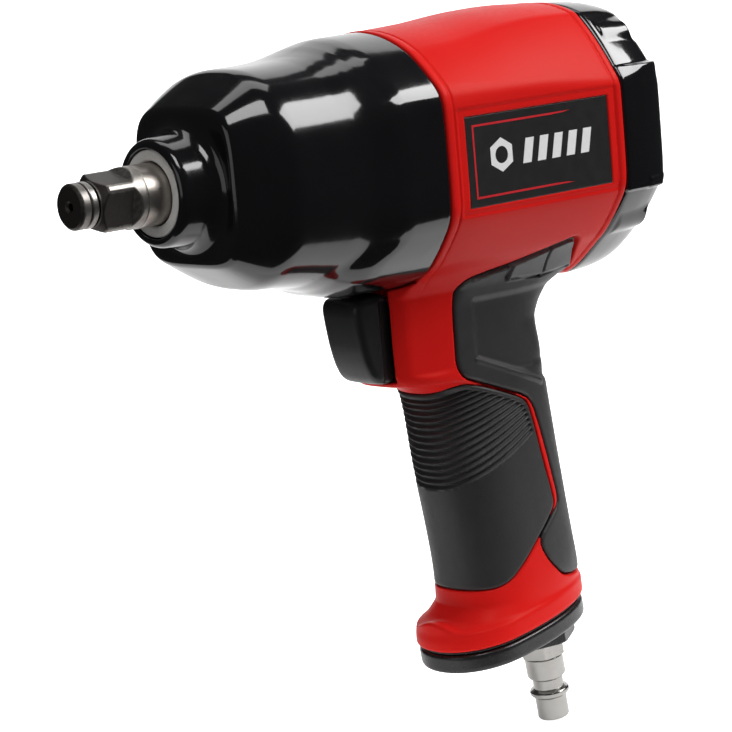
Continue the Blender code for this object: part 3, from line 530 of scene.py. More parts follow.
def grip_rubber():
    mat = Material("grip_rubber")
    dust = mat.ramp(mat.noise(520, detail=5, rough=0.7), start=0.70, end=0.80, high=0.10)
    base = mat.mix(mat.noise(55), (0.0165, 0.0158, 0.0164), (0.0225, 0.0216, 0.0222))
    # The two thumb pads are coloured a paler grey.
    x, _, z = mat.axes()
    pads = mat.times(
        mat.ramp(x, start=0.1338, end=0.1352), mat.ramp(z, start=-0.0392, end=-0.0386)
    )
    base = mat.mix(mat.times(pads, 0.75), base, (0.085, 0.086, 0.090))
    color = mat.mix(dust, base, (0.16, 0.155, 0.15))
    mat.bumps(
        Bump(mat.noise(1900, rough=0.65), strength=0.32, depth=0.00012),
        Bump(mat.noise(180, detail=2), strength=0.06, depth=0.0004),
    )
    rough = mat.ramp(mat.noise(420), low=0.42, high=0.52)
    return mat.set(Base_Color=color, Roughness=rough, Specular_IOR_Level=0.46)


def label_face():
    mat = Material("label_black")
    mat.bumps(Bump(mat.noise(1500, detail=2), strength=0.06, depth=0.00008))
    color = mat.mix(mat.noise(90, detail=2), (0.0105, 0.0100, 0.0100), (0.0135, 0.0130, 0.0130))
    rough = mat.ramp(mat.noise(300, detail=2), low=0.36, high=0.44)
    return mat.set(Base_Color=color, Roughness=rough)


def print_ink(name, color):
    mat = Material(name)
    shade = mat.mix(mat.noise(700, detail=2), color, tuple(0.9 * part for part in color))
    mat.bumps(Bump(mat.noise(2200, detail=2), strength=0.05, depth=0.00005))
    rough = mat.ramp(mat.noise(400, detail=2), low=0.38, high=0.5)
    return mat.set(Base_Color=shade, Roughness=rough)


def drive_steel():
    """Oxidised flats, corners worn bright, a ground journal and a rough collar before it."""
    mat = Material("hardened_drive")
    x, y, z = mat.axes()
    radius = mat.math("SQRT", mat.math("ADD", mat.times(y, y), mat.times(z, z)))
    speck = mat.noise(900, detail=5, rough=0.7)
    fine = mat.noise(3600, rough=0.6)
    wobble = mat.ramp(speck, start=0.25, end=0.75, low=-0.00016, high=0.00016, clamp=False)
    # Wear shows on the square's corners, the nose's rim and the collar.
    worn = mat.ramp(mat.math("ADD", radius, wobble), start=0.00775, end=0.00800)
    worn = mat.times(worn, mat.ramp(x, start=0.0060, end=0.0062))
    nose = mat.ramp(mat.math("ADD", radius, wobble), start=0.00575, end=0.00602, high=0.75)
    nose = mat.times(nose, mat.ramp(x, start=0.0056, end=0.0059, low=1.0, high=0.0))
    worn = mat.math("MAXIMUM", worn, nose)
    collar = mat.times(
        mat.ramp(x, start=0.0153, end=0.0156),
        mat.ramp(x, start=0.0190, end=0.0193, low=1.0, high=0.0),
    )
    collar = mat.times(collar, mat.ramp(speck, start=0.35, end=0.6, low=0.35, high=0.85))
    worn = mat.math("MAXIMUM", worn, collar)
    journal = mat.ramp(x, start=0.0191, end=0.0193)
    dark = mat.mix(speck, (0.052, 0.046, 0.042), (0.088, 0.080, 0.074))
    bright = mat.mix(speck, (0.20, 0.19, 0.175), (0.36, 0.34, 0.32))
    ground = mat.mix(mat.noise(260), (0.30, 0.27, 0.245), (0.40, 0.37, 0.34))
    color = mat.mix(journal, mat.mix(worn, dark, bright), ground)
    rough = mat.math(
        "ADD", mat.ramp(worn, start=0, end=1, low=0.46, high=0.38),
        mat.ramp(fine, low=-0.05, high=0.05),
    )
    rough = mat.math(
        "ADD", mat.times(rough, mat.math("SUBTRACT", 1.0, journal)), mat.times(0.32, journal)
    )
    mat.bumps(
        Bump(fine, strength=0.25, depth=0.00006), Bump(speck, strength=0.14, depth=0.00012)
    )
    return mat.set(Base_Color=color, Metallic=0.95, Roughness=rough)


def metal(name, low, high, rough, metallic=1.0, scale=700, bump=0.12):
    mat = Material(name)
    patches = mat.noise(scale, detail=4, rough=0.65)
    mat.bumps(Bump(mat.noise(scale * 4, detail=2), strength=bump, depth=0.00006))
    return mat.set(
        Base_Color=mat.mix(patches, low, high), Metallic=metallic,
        Roughness=mat.ramp(mat.noise(scale * 1.7), low=rough - 0.04, high=rough + 0.06),
    )


def sintered():
    mat = Material("sintered_bushing")
    speck = mat.noise(2600, detail=4, rough=0.75)
    pits = mat.ramp(speck, start=0.60, end=0.72)
    base = mat.mix(mat.noise(500), (0.66, 0.64, 0.61), (0.80, 0.78, 0.75))
    mat.bumps(Bump(speck, strength=0.25, depth=0.00008))
    return mat.set(
        Base_Color=mat.mix(pits, base, (0.24, 0.225, 0.21)), Metallic=0.25,
        Roughness=mat.ramp(speck, low=0.34, high=0.52),
    )


def nickel():
    """Bright nickel with fine turning lines round its axis."""
    mat = Material("nickel_plate")
    along = mat.dot(mat.coord)
    along.inputs[1].default_value = DOWN
    wave = mat.math("SINE", mat.times(along.outputs["Value"], 42000.0))
    lines = mat.times(wave, mat.noise(900))
    speck = mat.ramp(mat.noise(1500, detail=4, rough=0.7), start=0.62, end=0.75, high=0.35)
    base = mat.mix(mat.noise(160), (0.36, 0.352, 0.335), (0.48, 0.47, 0.45))
    color = mat.mix(speck, base, (0.22, 0.21, 0.20))
    mat.bumps(
        Bump(lines, strength=0.05, depth=0.00005),
        Bump(mat.noise(1200), strength=0.06, depth=0.0001),
    )
    rough = mat.ramp(mat.noise(700), low=0.15, high=0.26)
    return mat.set(Base_Color=color, Metallic=1.0, Roughness=rough)


def seal_rubber():
    mat = Material("seal_rubber")
    mat.bumps(Bump(mat.noise(2000, detail=2), strength=0.2, depth=0.0001))
    color = mat.mix(mat.noise(200, detail=2), (0.010, 0.010, 0.010), (0.016, 0.016, 0.016))
    rough = mat.ramp(mat.noise(500, detail=2), low=0.5, high=0.62)
    return mat.set(Base_Color=color, Roughness=rough)


def laminate():
    mat = Material("vane_laminate")
    wave = mat.add("ShaderNodeTexWave")
    for key, value in (("Vector", mat.coord), ("Scale", 900), ("Distortion", 2.0)):
        mat.feed(wave.inputs[key], value)
    color = mat.mix(wave.outputs["Fac"], (0.10, 0.045, 0.018), (0.19, 0.095, 0.04))
    return mat.set(Base_Color=color, Roughness=0.5)


def felt():
    mat = Material("filter_felt")
    fuzz = mat.noise(1800, detail=6, rough=0.8)
    mat.bumps(Bump(fuzz, strength=0.6, depth=0.0003))
    color = mat.mix(fuzz, (0.30, 0.28, 0.24), (0.52, 0.49, 0.43))
    return mat.set(Base_Color=color, Roughness=0.92)


RED = red_nylon()
PAINT = black_paint()
PLASTIC = black_plastic("black_plastic", rough=0.30)
RUBBER = grip_rubber()
PLATE = black_plastic("base_black", rough=0.24)
TRIGGER_BLACK = black_plastic("trigger_black", rough=0.34)
LABEL_BLACK = label_face()
DRIVE = drive_steel()
NICKEL = nickel()
SINTERED = sintered()
STEEL = metal("machined_steel", (0.42, 0.41, 0.39), (0.56, 0.545, 0.52), rough=0.28)
RING_STEEL = metal(
    "ring_steel", (0.20, 0.19, 0.18), (0.40, 0.385, 0.365), rough=0.34, scale=1200, bump=0.2
)
DARK = metal(
    "black_oxide_steel", (0.035, 0.034, 0.033), (0.065, 0.062, 0.060), rough=0.36, metallic=0.9
)
HARD = metal("heat_treated_steel", (0.12, 0.11, 0.105), (0.19, 0.18, 0.17), rough=0.36)
ALU = metal("machined_aluminium", (0.60, 0.60, 0.62), (0.72, 0.72, 0.74), rough=0.34)
BRASS = metal("machined_brass", (0.56, 0.36, 0.13), (0.72, 0.50, 0.21), rough=0.32)
SEAL = seal_rubber()
VANE = laminate()
FELT = felt()
INK_RED = print_ink("badge_red", (0.55, 0.012, 0.02))
INK_WHITE = print_ink("badge_white", (0.78, 0.78, 0.78))

# ---- CAD nodes that keep their shape ----
KEPT = {
    STEEL: (
        "trigger_pin", "throttle_valve", "throttle_spring", "hammer_cage", "hammer_pin_1",
        "hammer_pin_2", "cylinder", "cylinder_dowel_pin", "front_bearing_outer_ring",
        "front_bearing_inner_ring", "rear_bearing_outer_ring", "rear_bearing_inner_ring",
        "detent_ball", "detent_spring",
    ),
    HARD: ("hammer_front", "hammer_rear", "rotor"),
    BRASS: (
        "trigger_bushing", "throttle_seat", "direction_valve", "inlet_strainer",
        "front_bearing_balls", "rear_bearing_balls",
    ),
    ALU: ("front_end_plate", "rear_end_plate"),
    SEAL: ("front_gasket", "rear_gasket", "ring_o_ring", "inlet_o_ring"),
    FELT: ("muffler",),
    VANE: tuple(f"vane_{k}" for k in range(1, 7)),
    DARK: ("base_screw_1", "base_screw_2"),
}
for kept_mat, names in KEPT.items():
    for name in names:
        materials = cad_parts[name].data.materials
        materials.clear()
        materials.append(kept_mat)


# ---- barrel and hammer case ----
def section(x, y, z, wide, top, low, tail):
    """The barrel's cross-section: flat sides, crisp facets, and a keel towards the handle."""
    side = np.abs(y)
    keel = tail * (1 - np.minimum(1, (side / 22.0) ** 2)) ** 1.8
    upper = z >= 0
    solid = superellipse(y, z, wide, np.where(upper, top, low + keel), np.where(upper, 4.0, 3.6))
    extra = wide - 33.4
    reach = table(x, (101, 120, 140, 169), (35.7, 36.8, 38.3, 38.8))
    crease = table(x, (101, 104, 118, 136, 158, 169), (17.8, 17.6, 16.9, 15.8, 14.2, 13.3))
    solid = meet(solid, 0.84 * (side - wide) + 0.5426 * (z - crease), 1.0)
    solid = meet(solid, 0.545 * side + 0.8384 * z - reach - extra * 0.5, 7.0)
    solid = meet(solid, 0.877 * side - 0.4805 * z - 36.7 - extra * 0.87, 1.2)
    return meet(solid, 0.6 * side - 0.8 * z - 38.6 - 0.7 * keel - extra * 0.6, 7.0)


def barrel(x, y, z):
    wide = table(x, (101, 112, 160, 169), (FRONT_WIDE, 33.75, 33.75, REAR_WIDE))
    top = table(x, (101, 120, 140, 150, 169), (FRONT_TOP, 35.4, 37.0, 37.3, REAR_TOP))
    tail = table(x, (108, 135, 160, 169), (0, 1.5, 6.5, KEEL))
    return section(x, y, z, wide, top, BARREL_LOW, tail)


def case_outer(x, y, z):
    """The hammer case without its bore: boss, rounded-square nose, body, flare and flange."""
    radius = np.hypot(y, z)
    wide = table(x, (40, 52, 60, 72, 80), (29.5, 29.9, 30.2, 30.6, 30.9))
    top = table(x, (40, 52, 60, 68, 72, 76, 80), (29.3, 29.7, 29.8, 30.2, 30.7, 31.4, 32.0))
    low = table(x, (40, 52, 60, 72, 80), (28.4, 29.4, 30.2, 31.9, 32.6))
    body = superellipse(y, z, wide, np.where(z >= 0, top, low), 2.55)
    # A straight cone runs from the rounded-square front face to the rounder body.
    girth = np.maximum(21.2 + 0.644 * (x - 38.0), 8.0)
    power = np.clip(4.2 - 0.110 * (x - 38.0), 2.55, 4.4)
    body = meet(body, superellipse(y, z, girth, girth, power) * 0.84, 1.0)
    body = meet(body, 37.15 - x, 1.5)
    inset = table(
        x + 6.0 * ease((-19.0 - z) / 8.0),
        (66, 72, 76, 79, 82, 85, 88, 101), (9.0, 5.2, 3.6, 2.3, 1.3, 0.6, 0.3, 0.08),
    )
    at_seam = np.full_like(x, SEAM_FRONT)
    flange = section(at_seam, y, z, FRONT_WIDE, FRONT_TOP, 36.2, 0.0) + inset
    flange = meet(flange, 64.0 - x, 1.0)
    boss = (radius - table(x, (25, 28, 34, 38), (14.1, 14.5, 15.3, 16.0))) * 0.98
    return join(join(body, flange, 1.6), meet(boss, 25.6 - x, 2.2), 4.0)


def to_screws(y, z):
    """Distance to the nearest cover screw's axis."""
    return either(*(np.hypot(y - at_y, z - at_z) for at_y, at_z in SCREWS))


def hammer_case(x, y, z):
    radius = np.hypot(y, z)
    solid = meet(case_outer(x, y, z), x - 100.85, 0.8)
    cavity = either(
        both(radius - 11.86, x - 45),
        both(radius - 26.2, (46.0 - x + (radius - 24.5)) * 0.7, 45.4 - x, x - 94.1),
        both(radius - GASKET_BORE, 94.0 - x),
    )
    solid = carve(solid, cavity, 0.7)
    return both(solid, -both(to_screws(y, z) - 2.1, 93.9 - x))


# ---- handle and motor housing ----
def foot_outline(x, y, inset=0.0):
    """The egg-shaped foot, seen along the handle."""
    half = np.where(x >= FOOT_MID, FOOT_REAR - FOOT_MID, FOOT_MID - FOOT_FRONT) - inset
    return superellipse(x - FOOT_MID, y, half, FOOT_WIDE - inset, 2.1)


def under(x, z):
    """Distance below the handle's lower face."""
    return (x - BASE_X) * DOWN[0] + (z - BASE_Z) * DOWN[2]


def handle(x, y, z):
    foot = ease((-z - 121) / 18.0)
    depth = -(z - SLOPE * foot * (x - BASE_X))
    front = table(
        depth,
        (20, 34, 45, 60, 63.5, 65.5, 68, 90, 122, 130, 132.4, 134.8, 137.4, 150),
        (96, 94.8, 94.6, 94.8, 96.5, 106, 109.6, 112.7, 117.2, 117.6, 114.8, 110.4,
         FOOT_FRONT, FOOT_FRONT),
    )
    rear = table(
        depth,
        (20, 38, 43, 48, 52, 60, 72, 96, 122, 130, 139, 150),
        (165, 164, 159.5, 155.2, 153.6, 154.6, 156, 158.9, 162.5, 164.2, FOOT_REAR, FOOT_REAR),
    )
    wide = table(
        depth,
        (20, 34, 45, 60, 70, 100, 124, 131, 135, 140),
        (22, 17.5, 15.4, 15.4, 16, 16, 16, 15.9, 16.5, 16.9),
    )
    power = table(depth, (20, 60, 70, 122, 136), (3.2, 3.2, 2.4, 2.4, 2.1))
    mid = (front + rear) / 2 - 9.5 * foot
    half = np.where(x >= mid, rear - mid, mid - front)
    solid = superellipse(x - mid, y, half, wide, power)
    rim = foot_outline(x, y)
    crown = 5.2 + 3.0 * hump(y / 11.0) * ease((119 - x) / 9.0)
    rim = meet(rim, -under(x, z) - crown, 1.0)
    # Crisp facets run down the neck beside the trigger.
    side = np.abs(y)
    off = 3.0 * (1 - ease((z + 65.0) / 5.0) * ease((-33.5 - z) / 6.0))
    solid = meet(solid, -0.6376 * x + 0.7704 * side + 54.2 - off, 0.5)
    solid = meet(solid, -0.222 * x + 0.975 * side + 10.45 - off, 0.5)
    solid = meet(solid, z + 22.0, 2.0)
    solid = join(solid, rim, 1.6)
    return meet(solid, under(x, z), 1.0)


def outer(x, y, z):
    """The motor housing's outside, before the grips are let in."""
    solid = barrel(x, y, z)
    # A low bead and a fine groove run round each end.
    solid = solid - 0.16 * hump((x - 102.4) / 1.5) - 0.16 * hump((x - 167.0) / 1.5)
    solid = solid + 0.30 * hump((x - 104.1) / 0.6) + 0.30 * hump((x - 165.3) / 0.6)
    solid = meet(solid, np.maximum(SEAM_FRONT + 0.15 - x, x - 168.2), 0.7)
    return join(solid, handle(x, y, z), 5.0)


# Outlines in side view, (x, z).
FRONT_GRIP = chaikin([
    (100, -68.9), (108, -68.6), (111.1, -67.9), (113.4, -66.2), (117.0, -65.6), (123.1, -67.2),
    (130.5, -70.1), (137.2, -73.0), (139.5, -75.0), (141.6, -82.0), (144.2, -93.0),
    (147.0, -103.0), (147.3, -106.3), (143.6, -110.1), (138.3, -115.3), (133.7, -120.1),
    (128.6, -124.9), (124.1, -126.5), (119.9, -126.7), (100, -126.5),
], 1)
REAR_GRIP = chaikin([
    (114.5, -60.0), (114.6, -52.5), (114.9, -42.0), (115.7, -38.6), (118.5, -36.6),
    (125.2, -35.4), (133.4, -34.3), (140.5, -32.9), (148.0, -31.3), (156.0, -29.4),
    (157.8, -30.3), (159.6, -33.0), (162.6, -38.0), (166.0, -43.0), (180, -47.0), (180, -128.6),
    (155.7, -128.2), (150.1, -127.2), (147.7, -125.9), (143.4, -121.7), (140.5, -116.8),
    (140.8, -114.2), (144.9, -110.4), (149.2, -106.7), (149.9, -103.7), (147.7, -94.8),
    (144.2, -82.0), (141.9, -75.3), (139.1, -72.2), (130.7, -68.9), (121.8, -65.4),
    (116.6, -63.3),
], 1)
REAR_PANEL = [
    (122.4, -43.0), (134.0, -43.2), (146.3, -43.2), (175, -43.0), (175, -75), (145.0, -67.2),
    (136.5, -63.8), (129.0, -60.8), (122.4, -58.2),
]
# Grooves round the thumb pads, as line segments.
THUMB = (
    ((134.1, -37.9), (135.2, -34.9)), ((148.5, -38.2), (149.0, -31.6)),
    ((135.6, -38.4), (148.0, -39.3)), ((148.0, -39.3), (160.5, -38.6)),
)
# The ribs run up and back from the grip's front: crest k lies where rib_number(x, z) = k.
# Terms are (power of x, power of z, coefficient).
RIB_TERMS = (
    (0, 0, 9.918), (0, 1, -7.014), (0, 2, -0.2746), (0, 3, -0.5489), (1, 0, 3.172),
    (1, 1, -0.5315), (1, 2, -0.2779), (2, 0, 0.2008), (2, 1, -0.3896), (3, 0, 0.2954),
    (4, 0, 0.0237),
)


def rib_number(x, z):
    x, z = (x - 125) / 15, (z + 85) / 15
    return sum(factor * x**i * z**j for i, j, factor in RIB_TERMS)


def grip_pad(face, area, shell):
    """A pad with the given face and outline, 2.7 mm thick."""
    return carve(meet(face, area, 1.1), shell + 2.7, 0.6)


def front_grip(x, y, z):
    shell = outer(x, y, z)
    area = polygon(x, z, FRONT_GRIP)
    rib = rib_number(x, z)
    ribbed = ease((rib + 1.1) / 0.5) * ease((13.2 - rib) / 0.2) * ease(-(area + 1.1) / 0.9)
    crest = 0.5 + 0.5 * np.cos(2 * math.pi * rib)
    return grip_pad(shell + 0.88 * (1 - crest**1.6) * ribbed, area, shell)


def rear_grip(x, y, z):
    shell = outer(x, y, z)
    area = polygon(x, z, REAR_GRIP) - 0.25
    flank = ease((np.abs(y) - 4) / 4)
    # A dark channel follows the upper edge, above the two thumb pads.
    channel = hump((area + 0.5) / 0.95)
    face = shell + 0.9 * channel * ease((x - 119) / 5) * ease((z + 39.5) / 2)
    for start, end in THUMB:
        face = face + 0.7 * hump(line_gap(x, z, start, end) / 0.72) * flank
    # The pads lean outwards at their lower edge.
    lean = 0.8 * ease((x - 133.5) / 1.5) * ease((z + 39.6) / 0.8) * ease((-31 - z) / 8.0)
    face = face - lean * flank
    panel = polygon(x, z, REAR_PANEL)
    face = face + 0.7 * ease(-(panel - 1.7) / 2.2) * flank
    ridge = line_gap(x, z, (121.8, -59.4), (147.0, -69.8))
    face = face - 0.38 * hump(ridge / 1.5) * flank
    return grip_pad(face, area, shell)


def motor_housing(x, y, z):
    shell = outer(x, y, z)
    solid = shell
    for outline, gap in ((FRONT_GRIP, 0.18), (REAR_GRIP, 0.75)):
        seat = np.maximum(polygon(x, z, outline) - gap, -(shell + 3.0))
        solid = carve(solid, seat, 0.5)
    # A shallow sunk frame on each side holds the label's recess.
    sunk = boxed(x, np.zeros_like(x), z, (105.0, -1, -16.6), (166.0, 1, 12.8), 1.0)
    solid = solid + np.where(np.abs(y) > 28, 0.34 * ease(-(sunk - 0.4)), 0)
    recess = boxed(
        x, np.abs(y), z, (LABEL_FRONT, 32.45, LABEL_BOTTOM), (LABEL_REAR, 40, LABEL_TOP), 0.3
    )
    solid = carve(solid, recess, 0.55)
    radius = np.hypot(y, z)
    hollow = either(
        both(radius - 25.4, 103.6 - x),
        both(radius - GASKET_BORE, x - 103.6),
        boxed(x, y, z, (80, -8.5, -62.4), (106.3, 8.5, -30), 1.2),
        rod(x, y, z, (100, 0, -50), (1, 0, 0), 5.3, 17),
        rod(x, y, z, (110, 0, -50), (1, 0, 0), 2.7, 20),
        rod(x, y, z, (136, 0, -64), (0, 0, 1), 7.4, 21.5),
        rod(x, y, z, (134, 0, -96), (0, 0, 1), 8.6, 36.4),
        rod(x, y, z, (133.6, 0, -90), (17.2, 0, -46), 6.3, 62),
        rod(x, y, z, (119.0, 0, -62), (7.0, 0, -80), 4.3, 90),
        rod(x, y, z, lowered(INLET, -15.5), DOWN, 8.6, 18.5),
    )
    solid = carve(solid, hollow, 0.7)
    case = np.maximum(case_outer(x, y, z) - 0.3, x - (SEAM_FRONT + 0.1))
    solid = carve(solid, case, 0.6)
    solid = np.maximum(solid, np.minimum(SEAM_FRONT + 0.15 - x, z + 31))
    return both(solid, -(to_screws(y, z) - 2.4))


def rear_cover(x, y, z):
    radius = np.hypot(y, z)
    side = np.abs(y)
    at_seam = np.full_like(x, 168.0)
    profile = section(at_seam, y, z, REAR_WIDE, REAR_TOP, BARREL_LOW, KEEL)
    inset = table(
        x, (168, 170, 176, 181, 184, 186.5, 188.2, 190),
        (0.1, 0.1, 0.35, 1.0, 1.8, 3.2, 5.2, 8.5),
    )
    solid = meet((profile + inset) * 0.85, np.maximum(168.5 - x, x - 188.3), 1.8)
    # A raised band runs round the middle, with a lip along its lower edge.
    inset = table(
        x, (168, 170, 176, 181, 184, 186.5, 188.2, 189.6, 191),
        (0.1, 0.1, 0.3, 0.9, 1.7, 3.4, 5.9, 9.2, 13),
    )
    crease = table(x, (168, 174, 180, 188), (13.6, 14.6, 16.4, 18.0))
    flank = superellipse(y, z, REAR_WIDE, REAR_TOP, 4.0)
    flank = meet(flank, 0.84 * (side - REAR_WIDE) + 0.5426 * (z - crease), 0.6)
    band = meet((flank + inset) * 0.85, np.abs(z + 0.1) - 17.7, 0.5)
    band = meet(band, np.maximum(169.0 - x, x - REAR_FACE), 1.0)
    lip = meet((profile + inset - 0.9) * 0.85, np.abs(z + 16.4) - 1.6, 0.8)
    lip = meet(lip, np.maximum(178.0 - x, x - REAR_FACE + 0.4), 1.0)
    solid = join(solid, join(band, lip, 0.8), 0.6)
    for at_y, at_z in SCREWS:
        pad = np.hypot(y - at_y, z - at_z) - 4.8
        solid = join(solid, meet(pad, np.maximum(172.0 - x, x - 183.0), 0.6), 1.5)
    for at_y, at_z in SCREWS:
        seat = both(np.hypot(y - at_y, z - at_z) - 3.9, SCREW_SEAT - x)
        solid = carve(solid, seat, 0.3)
    # The back: a round groove about the knob and four slots on each side of it.
    solid = carve(solid, np.maximum(np.abs(radius - 13.6) - 0.9, 188.7 - x), 0.5)
    for k in (-2, -1, 1, 2):
        slot = boxed(x, side, z, (188.4, 17.6, k * 5.0 - 1.0), (195, 24.6, k * 5.0 + 1.0), 0.6)
        solid = carve(solid, slot, 0.4)
    spigot = meet(both(radius - 25.0, 158.0 - x), x - 169.5, 0.5)
    hollow = either(
        both(radius - 12.6, x - 176.6),
        radius - 4.3,
        both(radius - 20.4, x - 169.4),
        both(np.hypot(y, z - 6.6) - 1.6, 184 - x),
    )
    solid = carve(np.minimum(solid, spigot), hollow, 0.4)
    return both(solid, -(to_screws(y, z) - 2.4))


# ---- trigger: outline in side view, (x, z) ----
TRIGGER = chaikin([
    (99.3, -36.9), (89.2, -36.9), (86.2, -37.7), (85.0, -40.2), (85.7, -46.0), (86.6, -51.5),
    (87.9, -56.4), (89.6, -60.0), (92.0, -62.0), (95.2, -62.4), (99.3, -62.0),
], 2)


def trigger(x, y, z):
    side = np.abs(y)
    solid = meet(polygon(x, z, TRIGGER) + 0.30 * (side / 8.0) ** 2, side - 8.0, 2.4)
    # The pad is a broad cap; behind it the body steps in.
    step = boxed(x, side, z, (93.6, 7.0, -70), (105, 12, -38.6), 1.0)
    solid = carve(solid, step, 0.8)
    return carve(solid, rod(x, y, z, (93.6, 0, -50), (1, 0, 0), 2.5, 20), 0.4)


# ---- output shaft and nose: profiles are (x, radius) ----
DRIVE_PROFILE = [
    (0.0, -1), (0.0, 5.35), (0.75, 6.1), (2.75, 6.1), (2.85, 4.3), (5.6, 4.3), (5.7, 6.1),
    (6.15, 6.1), (7.9, JOURNAL), (19.05, JOURNAL), (19.2, 8.10), (19.35, JOURNAL),
    (34.0, JOURNAL), (34.0, -1),
]
SHAFT_PROFILE = [
    (33.5, -1), (33.5, JOURNAL), (43.3, JOURNAL), (43.3, 11.2), (45.5, 11.2), (45.5, 9.3),
    (84.2, 9.3), (84.7, 8.8), (84.7, -1),
]
BUSHING_PROFILE = [
    (26.2, 9.0), (26.2, 11.25), (26.5, 11.55), (42.6, 11.55), (42.6, 8.55), (26.55, 8.55),
]


def turn_with_square(y, z):
    cos, sin = math.cos(SQUARE_ANGLE), math.sin(SQUARE_ANGLE)
    return y * cos + z * sin, -y * sin + z * cos


def square_drive(x, y, z):
    radius = np.hypot(y, z)
    across, up = turn_with_square(y, z)
    solid = polygon(x, radius, DRIVE_PROFILE)
    # The flats run out behind the square.
    limit = SQUARE_HALF + np.maximum(0, x - 15.5) * 0.95
    square = meet(np.abs(across) - limit, np.abs(up) - limit, 0.35)
    solid = meet(solid, square * np.where(x > 15.5, 0.72, 1.0), 0.25)
    countersink = (radius + (x - 0.55) * 1.2 - 1.05) * 0.64
    return carve(solid, either(both(radius - 1.05, x - 3.2), countersink), 0.15)


def anvil_shaft(x, y, z):
    """The hidden part of the output shaft, with the two jaws that the hammers strike."""
    solid = polygon(x, np.hypot(y, z), SHAFT_PROFILE)
    across, up = turn_with_square(y, z)
    for front, rear, side in ((51.0, 66.4, 1), (69.2, 84.2, -1)):
        jaw = boxed(x, across, up * side, (front, -4.1, 1.7), (rear, 4.1, 11.5), 0.6)
        solid = join(solid, jaw, 0.8)
    return solid


def retaining_ring(x, y, z):
    over_x = np.maximum(np.abs(x - 4.2) - 0.55, 0)
    over_radius = np.maximum(np.abs(np.hypot(y, z) - 5.53) - 0.1, 0)
    gap = boxed(x, y, z, (2, -0.8, -8), (7, 0.8, 0), 0.1)
    return carve(np.hypot(over_x, over_radius) - 0.5, gap, 0.2)


def bushing(x, y, z):
    return polygon(x, np.hypot(y, z), BUSHING_PROFILE) - 0.02


# ---- foot of the handle ----
def inlet_hole(x, y, z):
    return about_line(x, y, z, INLET, DOWN)[1] - 9.0


def base_plate(x, y, z):
    depth = under(x, z)
    rim = foot_outline(x - DOWN[0] * depth, y, 0.15)
    bottom = depth - 5.2 - 1.5 * ease((rim + 6.5) / 3.5)
    solid = meet(rim, np.maximum(1.1 - depth, bottom), 1.5)
    hole = inlet_hole(x, y, z)
    hole = either(hole, both(hole - 3.0, 5.2 - depth))
    for k in range(3):
        slot = boxed(x, y, z, (118.2 + 5.2 * k, -7.0, -170), (120.8 + 5.2 * k, 7.0, -120), 0.8)
        hole = either(hole, slot)
    for side in (1, -1):
        screw = on_base(138.5, side * FOOT_SCREW_Y)
        head = rod(x, y, z, lowered(screw, 2.6), DOWN, 3.5, 8)
        shank = rod(x, y, z, lowered(screw, -3.0), DOWN, 1.9, 12)
        hole = either(hole, head, shank)
    return carve(solid, hole, 0.5)


def base_gasket(x, y, z):
    depth = under(x, z)
    outline = foot_outline(x - DOWN[0] * depth, y, 0.9)
    solid = meet(outline, np.abs(depth - 0.55) - 0.30, 0.15)
    hole = either(
        inlet_hole(x, y, z),
        np.hypot(x - 125, y) - 7.0,
        np.hypot(x - 138.7, np.abs(y) - FOOT_SCREW_Y) - 1.9,
    )
    return both(solid, -hole)


# ---- inlet: here z runs down along the inlet's axis, and x and y lie across it ----
NIPPLE_PROFILE = [  # (z, radius)
    (36.0, 3.3), (36.0, 4.35), (35.6, 4.65), (29.5, 4.65), (29.3, 4.72), (28.55, 5.65),
    (28.2, 5.85), (27.5, 5.85), (27.1, 5.6), (26.5, 4.5), (23.6, 4.5), (23.3, 4.9), (22.9, 5.5),
    (22.4, 5.7), (16.9, 5.7), (16.5, 5.45), (16.0, 5.3), (11.6, 5.3), (11.5, 4.6), (-4.0, 4.6),
    (-4.0, 3.0), (35.6, 3.0),
]


def inlet_bushing(x, y, z):
    radius = np.hypot(x, y)
    ends = np.abs(z - 8.5) - 2.9
    nut = meet(hexagon(x, y, 19.0, math.pi / 6), ends, 0.3)
    nut = meet(nut, (radius + ends * 1.8 - 10.1) * 0.48, 0.2)
    pitch = 1.5
    helix = np.cos(2 * math.pi * (z - np.arctan2(y, x) / (2 * math.pi) * pitch) / pitch)
    thread = both(radius - 8.2 - 0.18 * helix * (z < 4), z - 7.0, -14.0 - z)
    bore = either(radius - 5.0, both(radius - 6.6, z + 9.5), both(radius - 6.2, 10.2 - z))
    return carve(either(nut, thread), bore, 0.2)


def inlet_nipple(x, y, z):
    radius = np.hypot(x, y)
    solid = polygon(z, radius, NIPPLE_PROFILE) - 0.03
    ends = np.abs(z - 14.05) - 2.3
    nut = meet(hexagon(x, y, 12.2, 0.15), ends, 0.25)
    nut = meet(nut, (radius + ends * 1.9 - 6.35) * 0.46, 0.2)
    return join(solid, both(nut, 4.0 - radius), 0.25)


# ---- knob and cover screws ----
LEVER = [  # (y, z)
    (-2.7, -7.2), (2.7, -7.2), (3.3, 6.0), (2.2, 13.2), (0.0, 14.5), (-2.2, 13.2), (-3.3, 6.0),
]


def direction_knob(x, y, z):
    radius = np.hypot(y, z)
    flutes = 0.28 * (0.5 + 0.5 * np.cos(np.arctan2(y, z) * 24)) * ease((x - 191) / 0.8)
    skirt = meet(radius - 9.6 + flutes, np.abs(x - 192.6) - 2.6, 0.9)
    skirt = carve(skirt, both(radius - 7.4, 194.3 - x), 0.5)
    lever = meet(polygon(y, z, LEVER), np.abs(x - 193.5) - 2.1, 1.1)
    stem = both(radius - 3.9, x - 191.0, 177.0 - x)
    solid = either(join(skirt, lever, 0.8), stem)
    return carve(solid, both(radius - 8.4, x - 191.5, 4.9 - radius), 0.3)


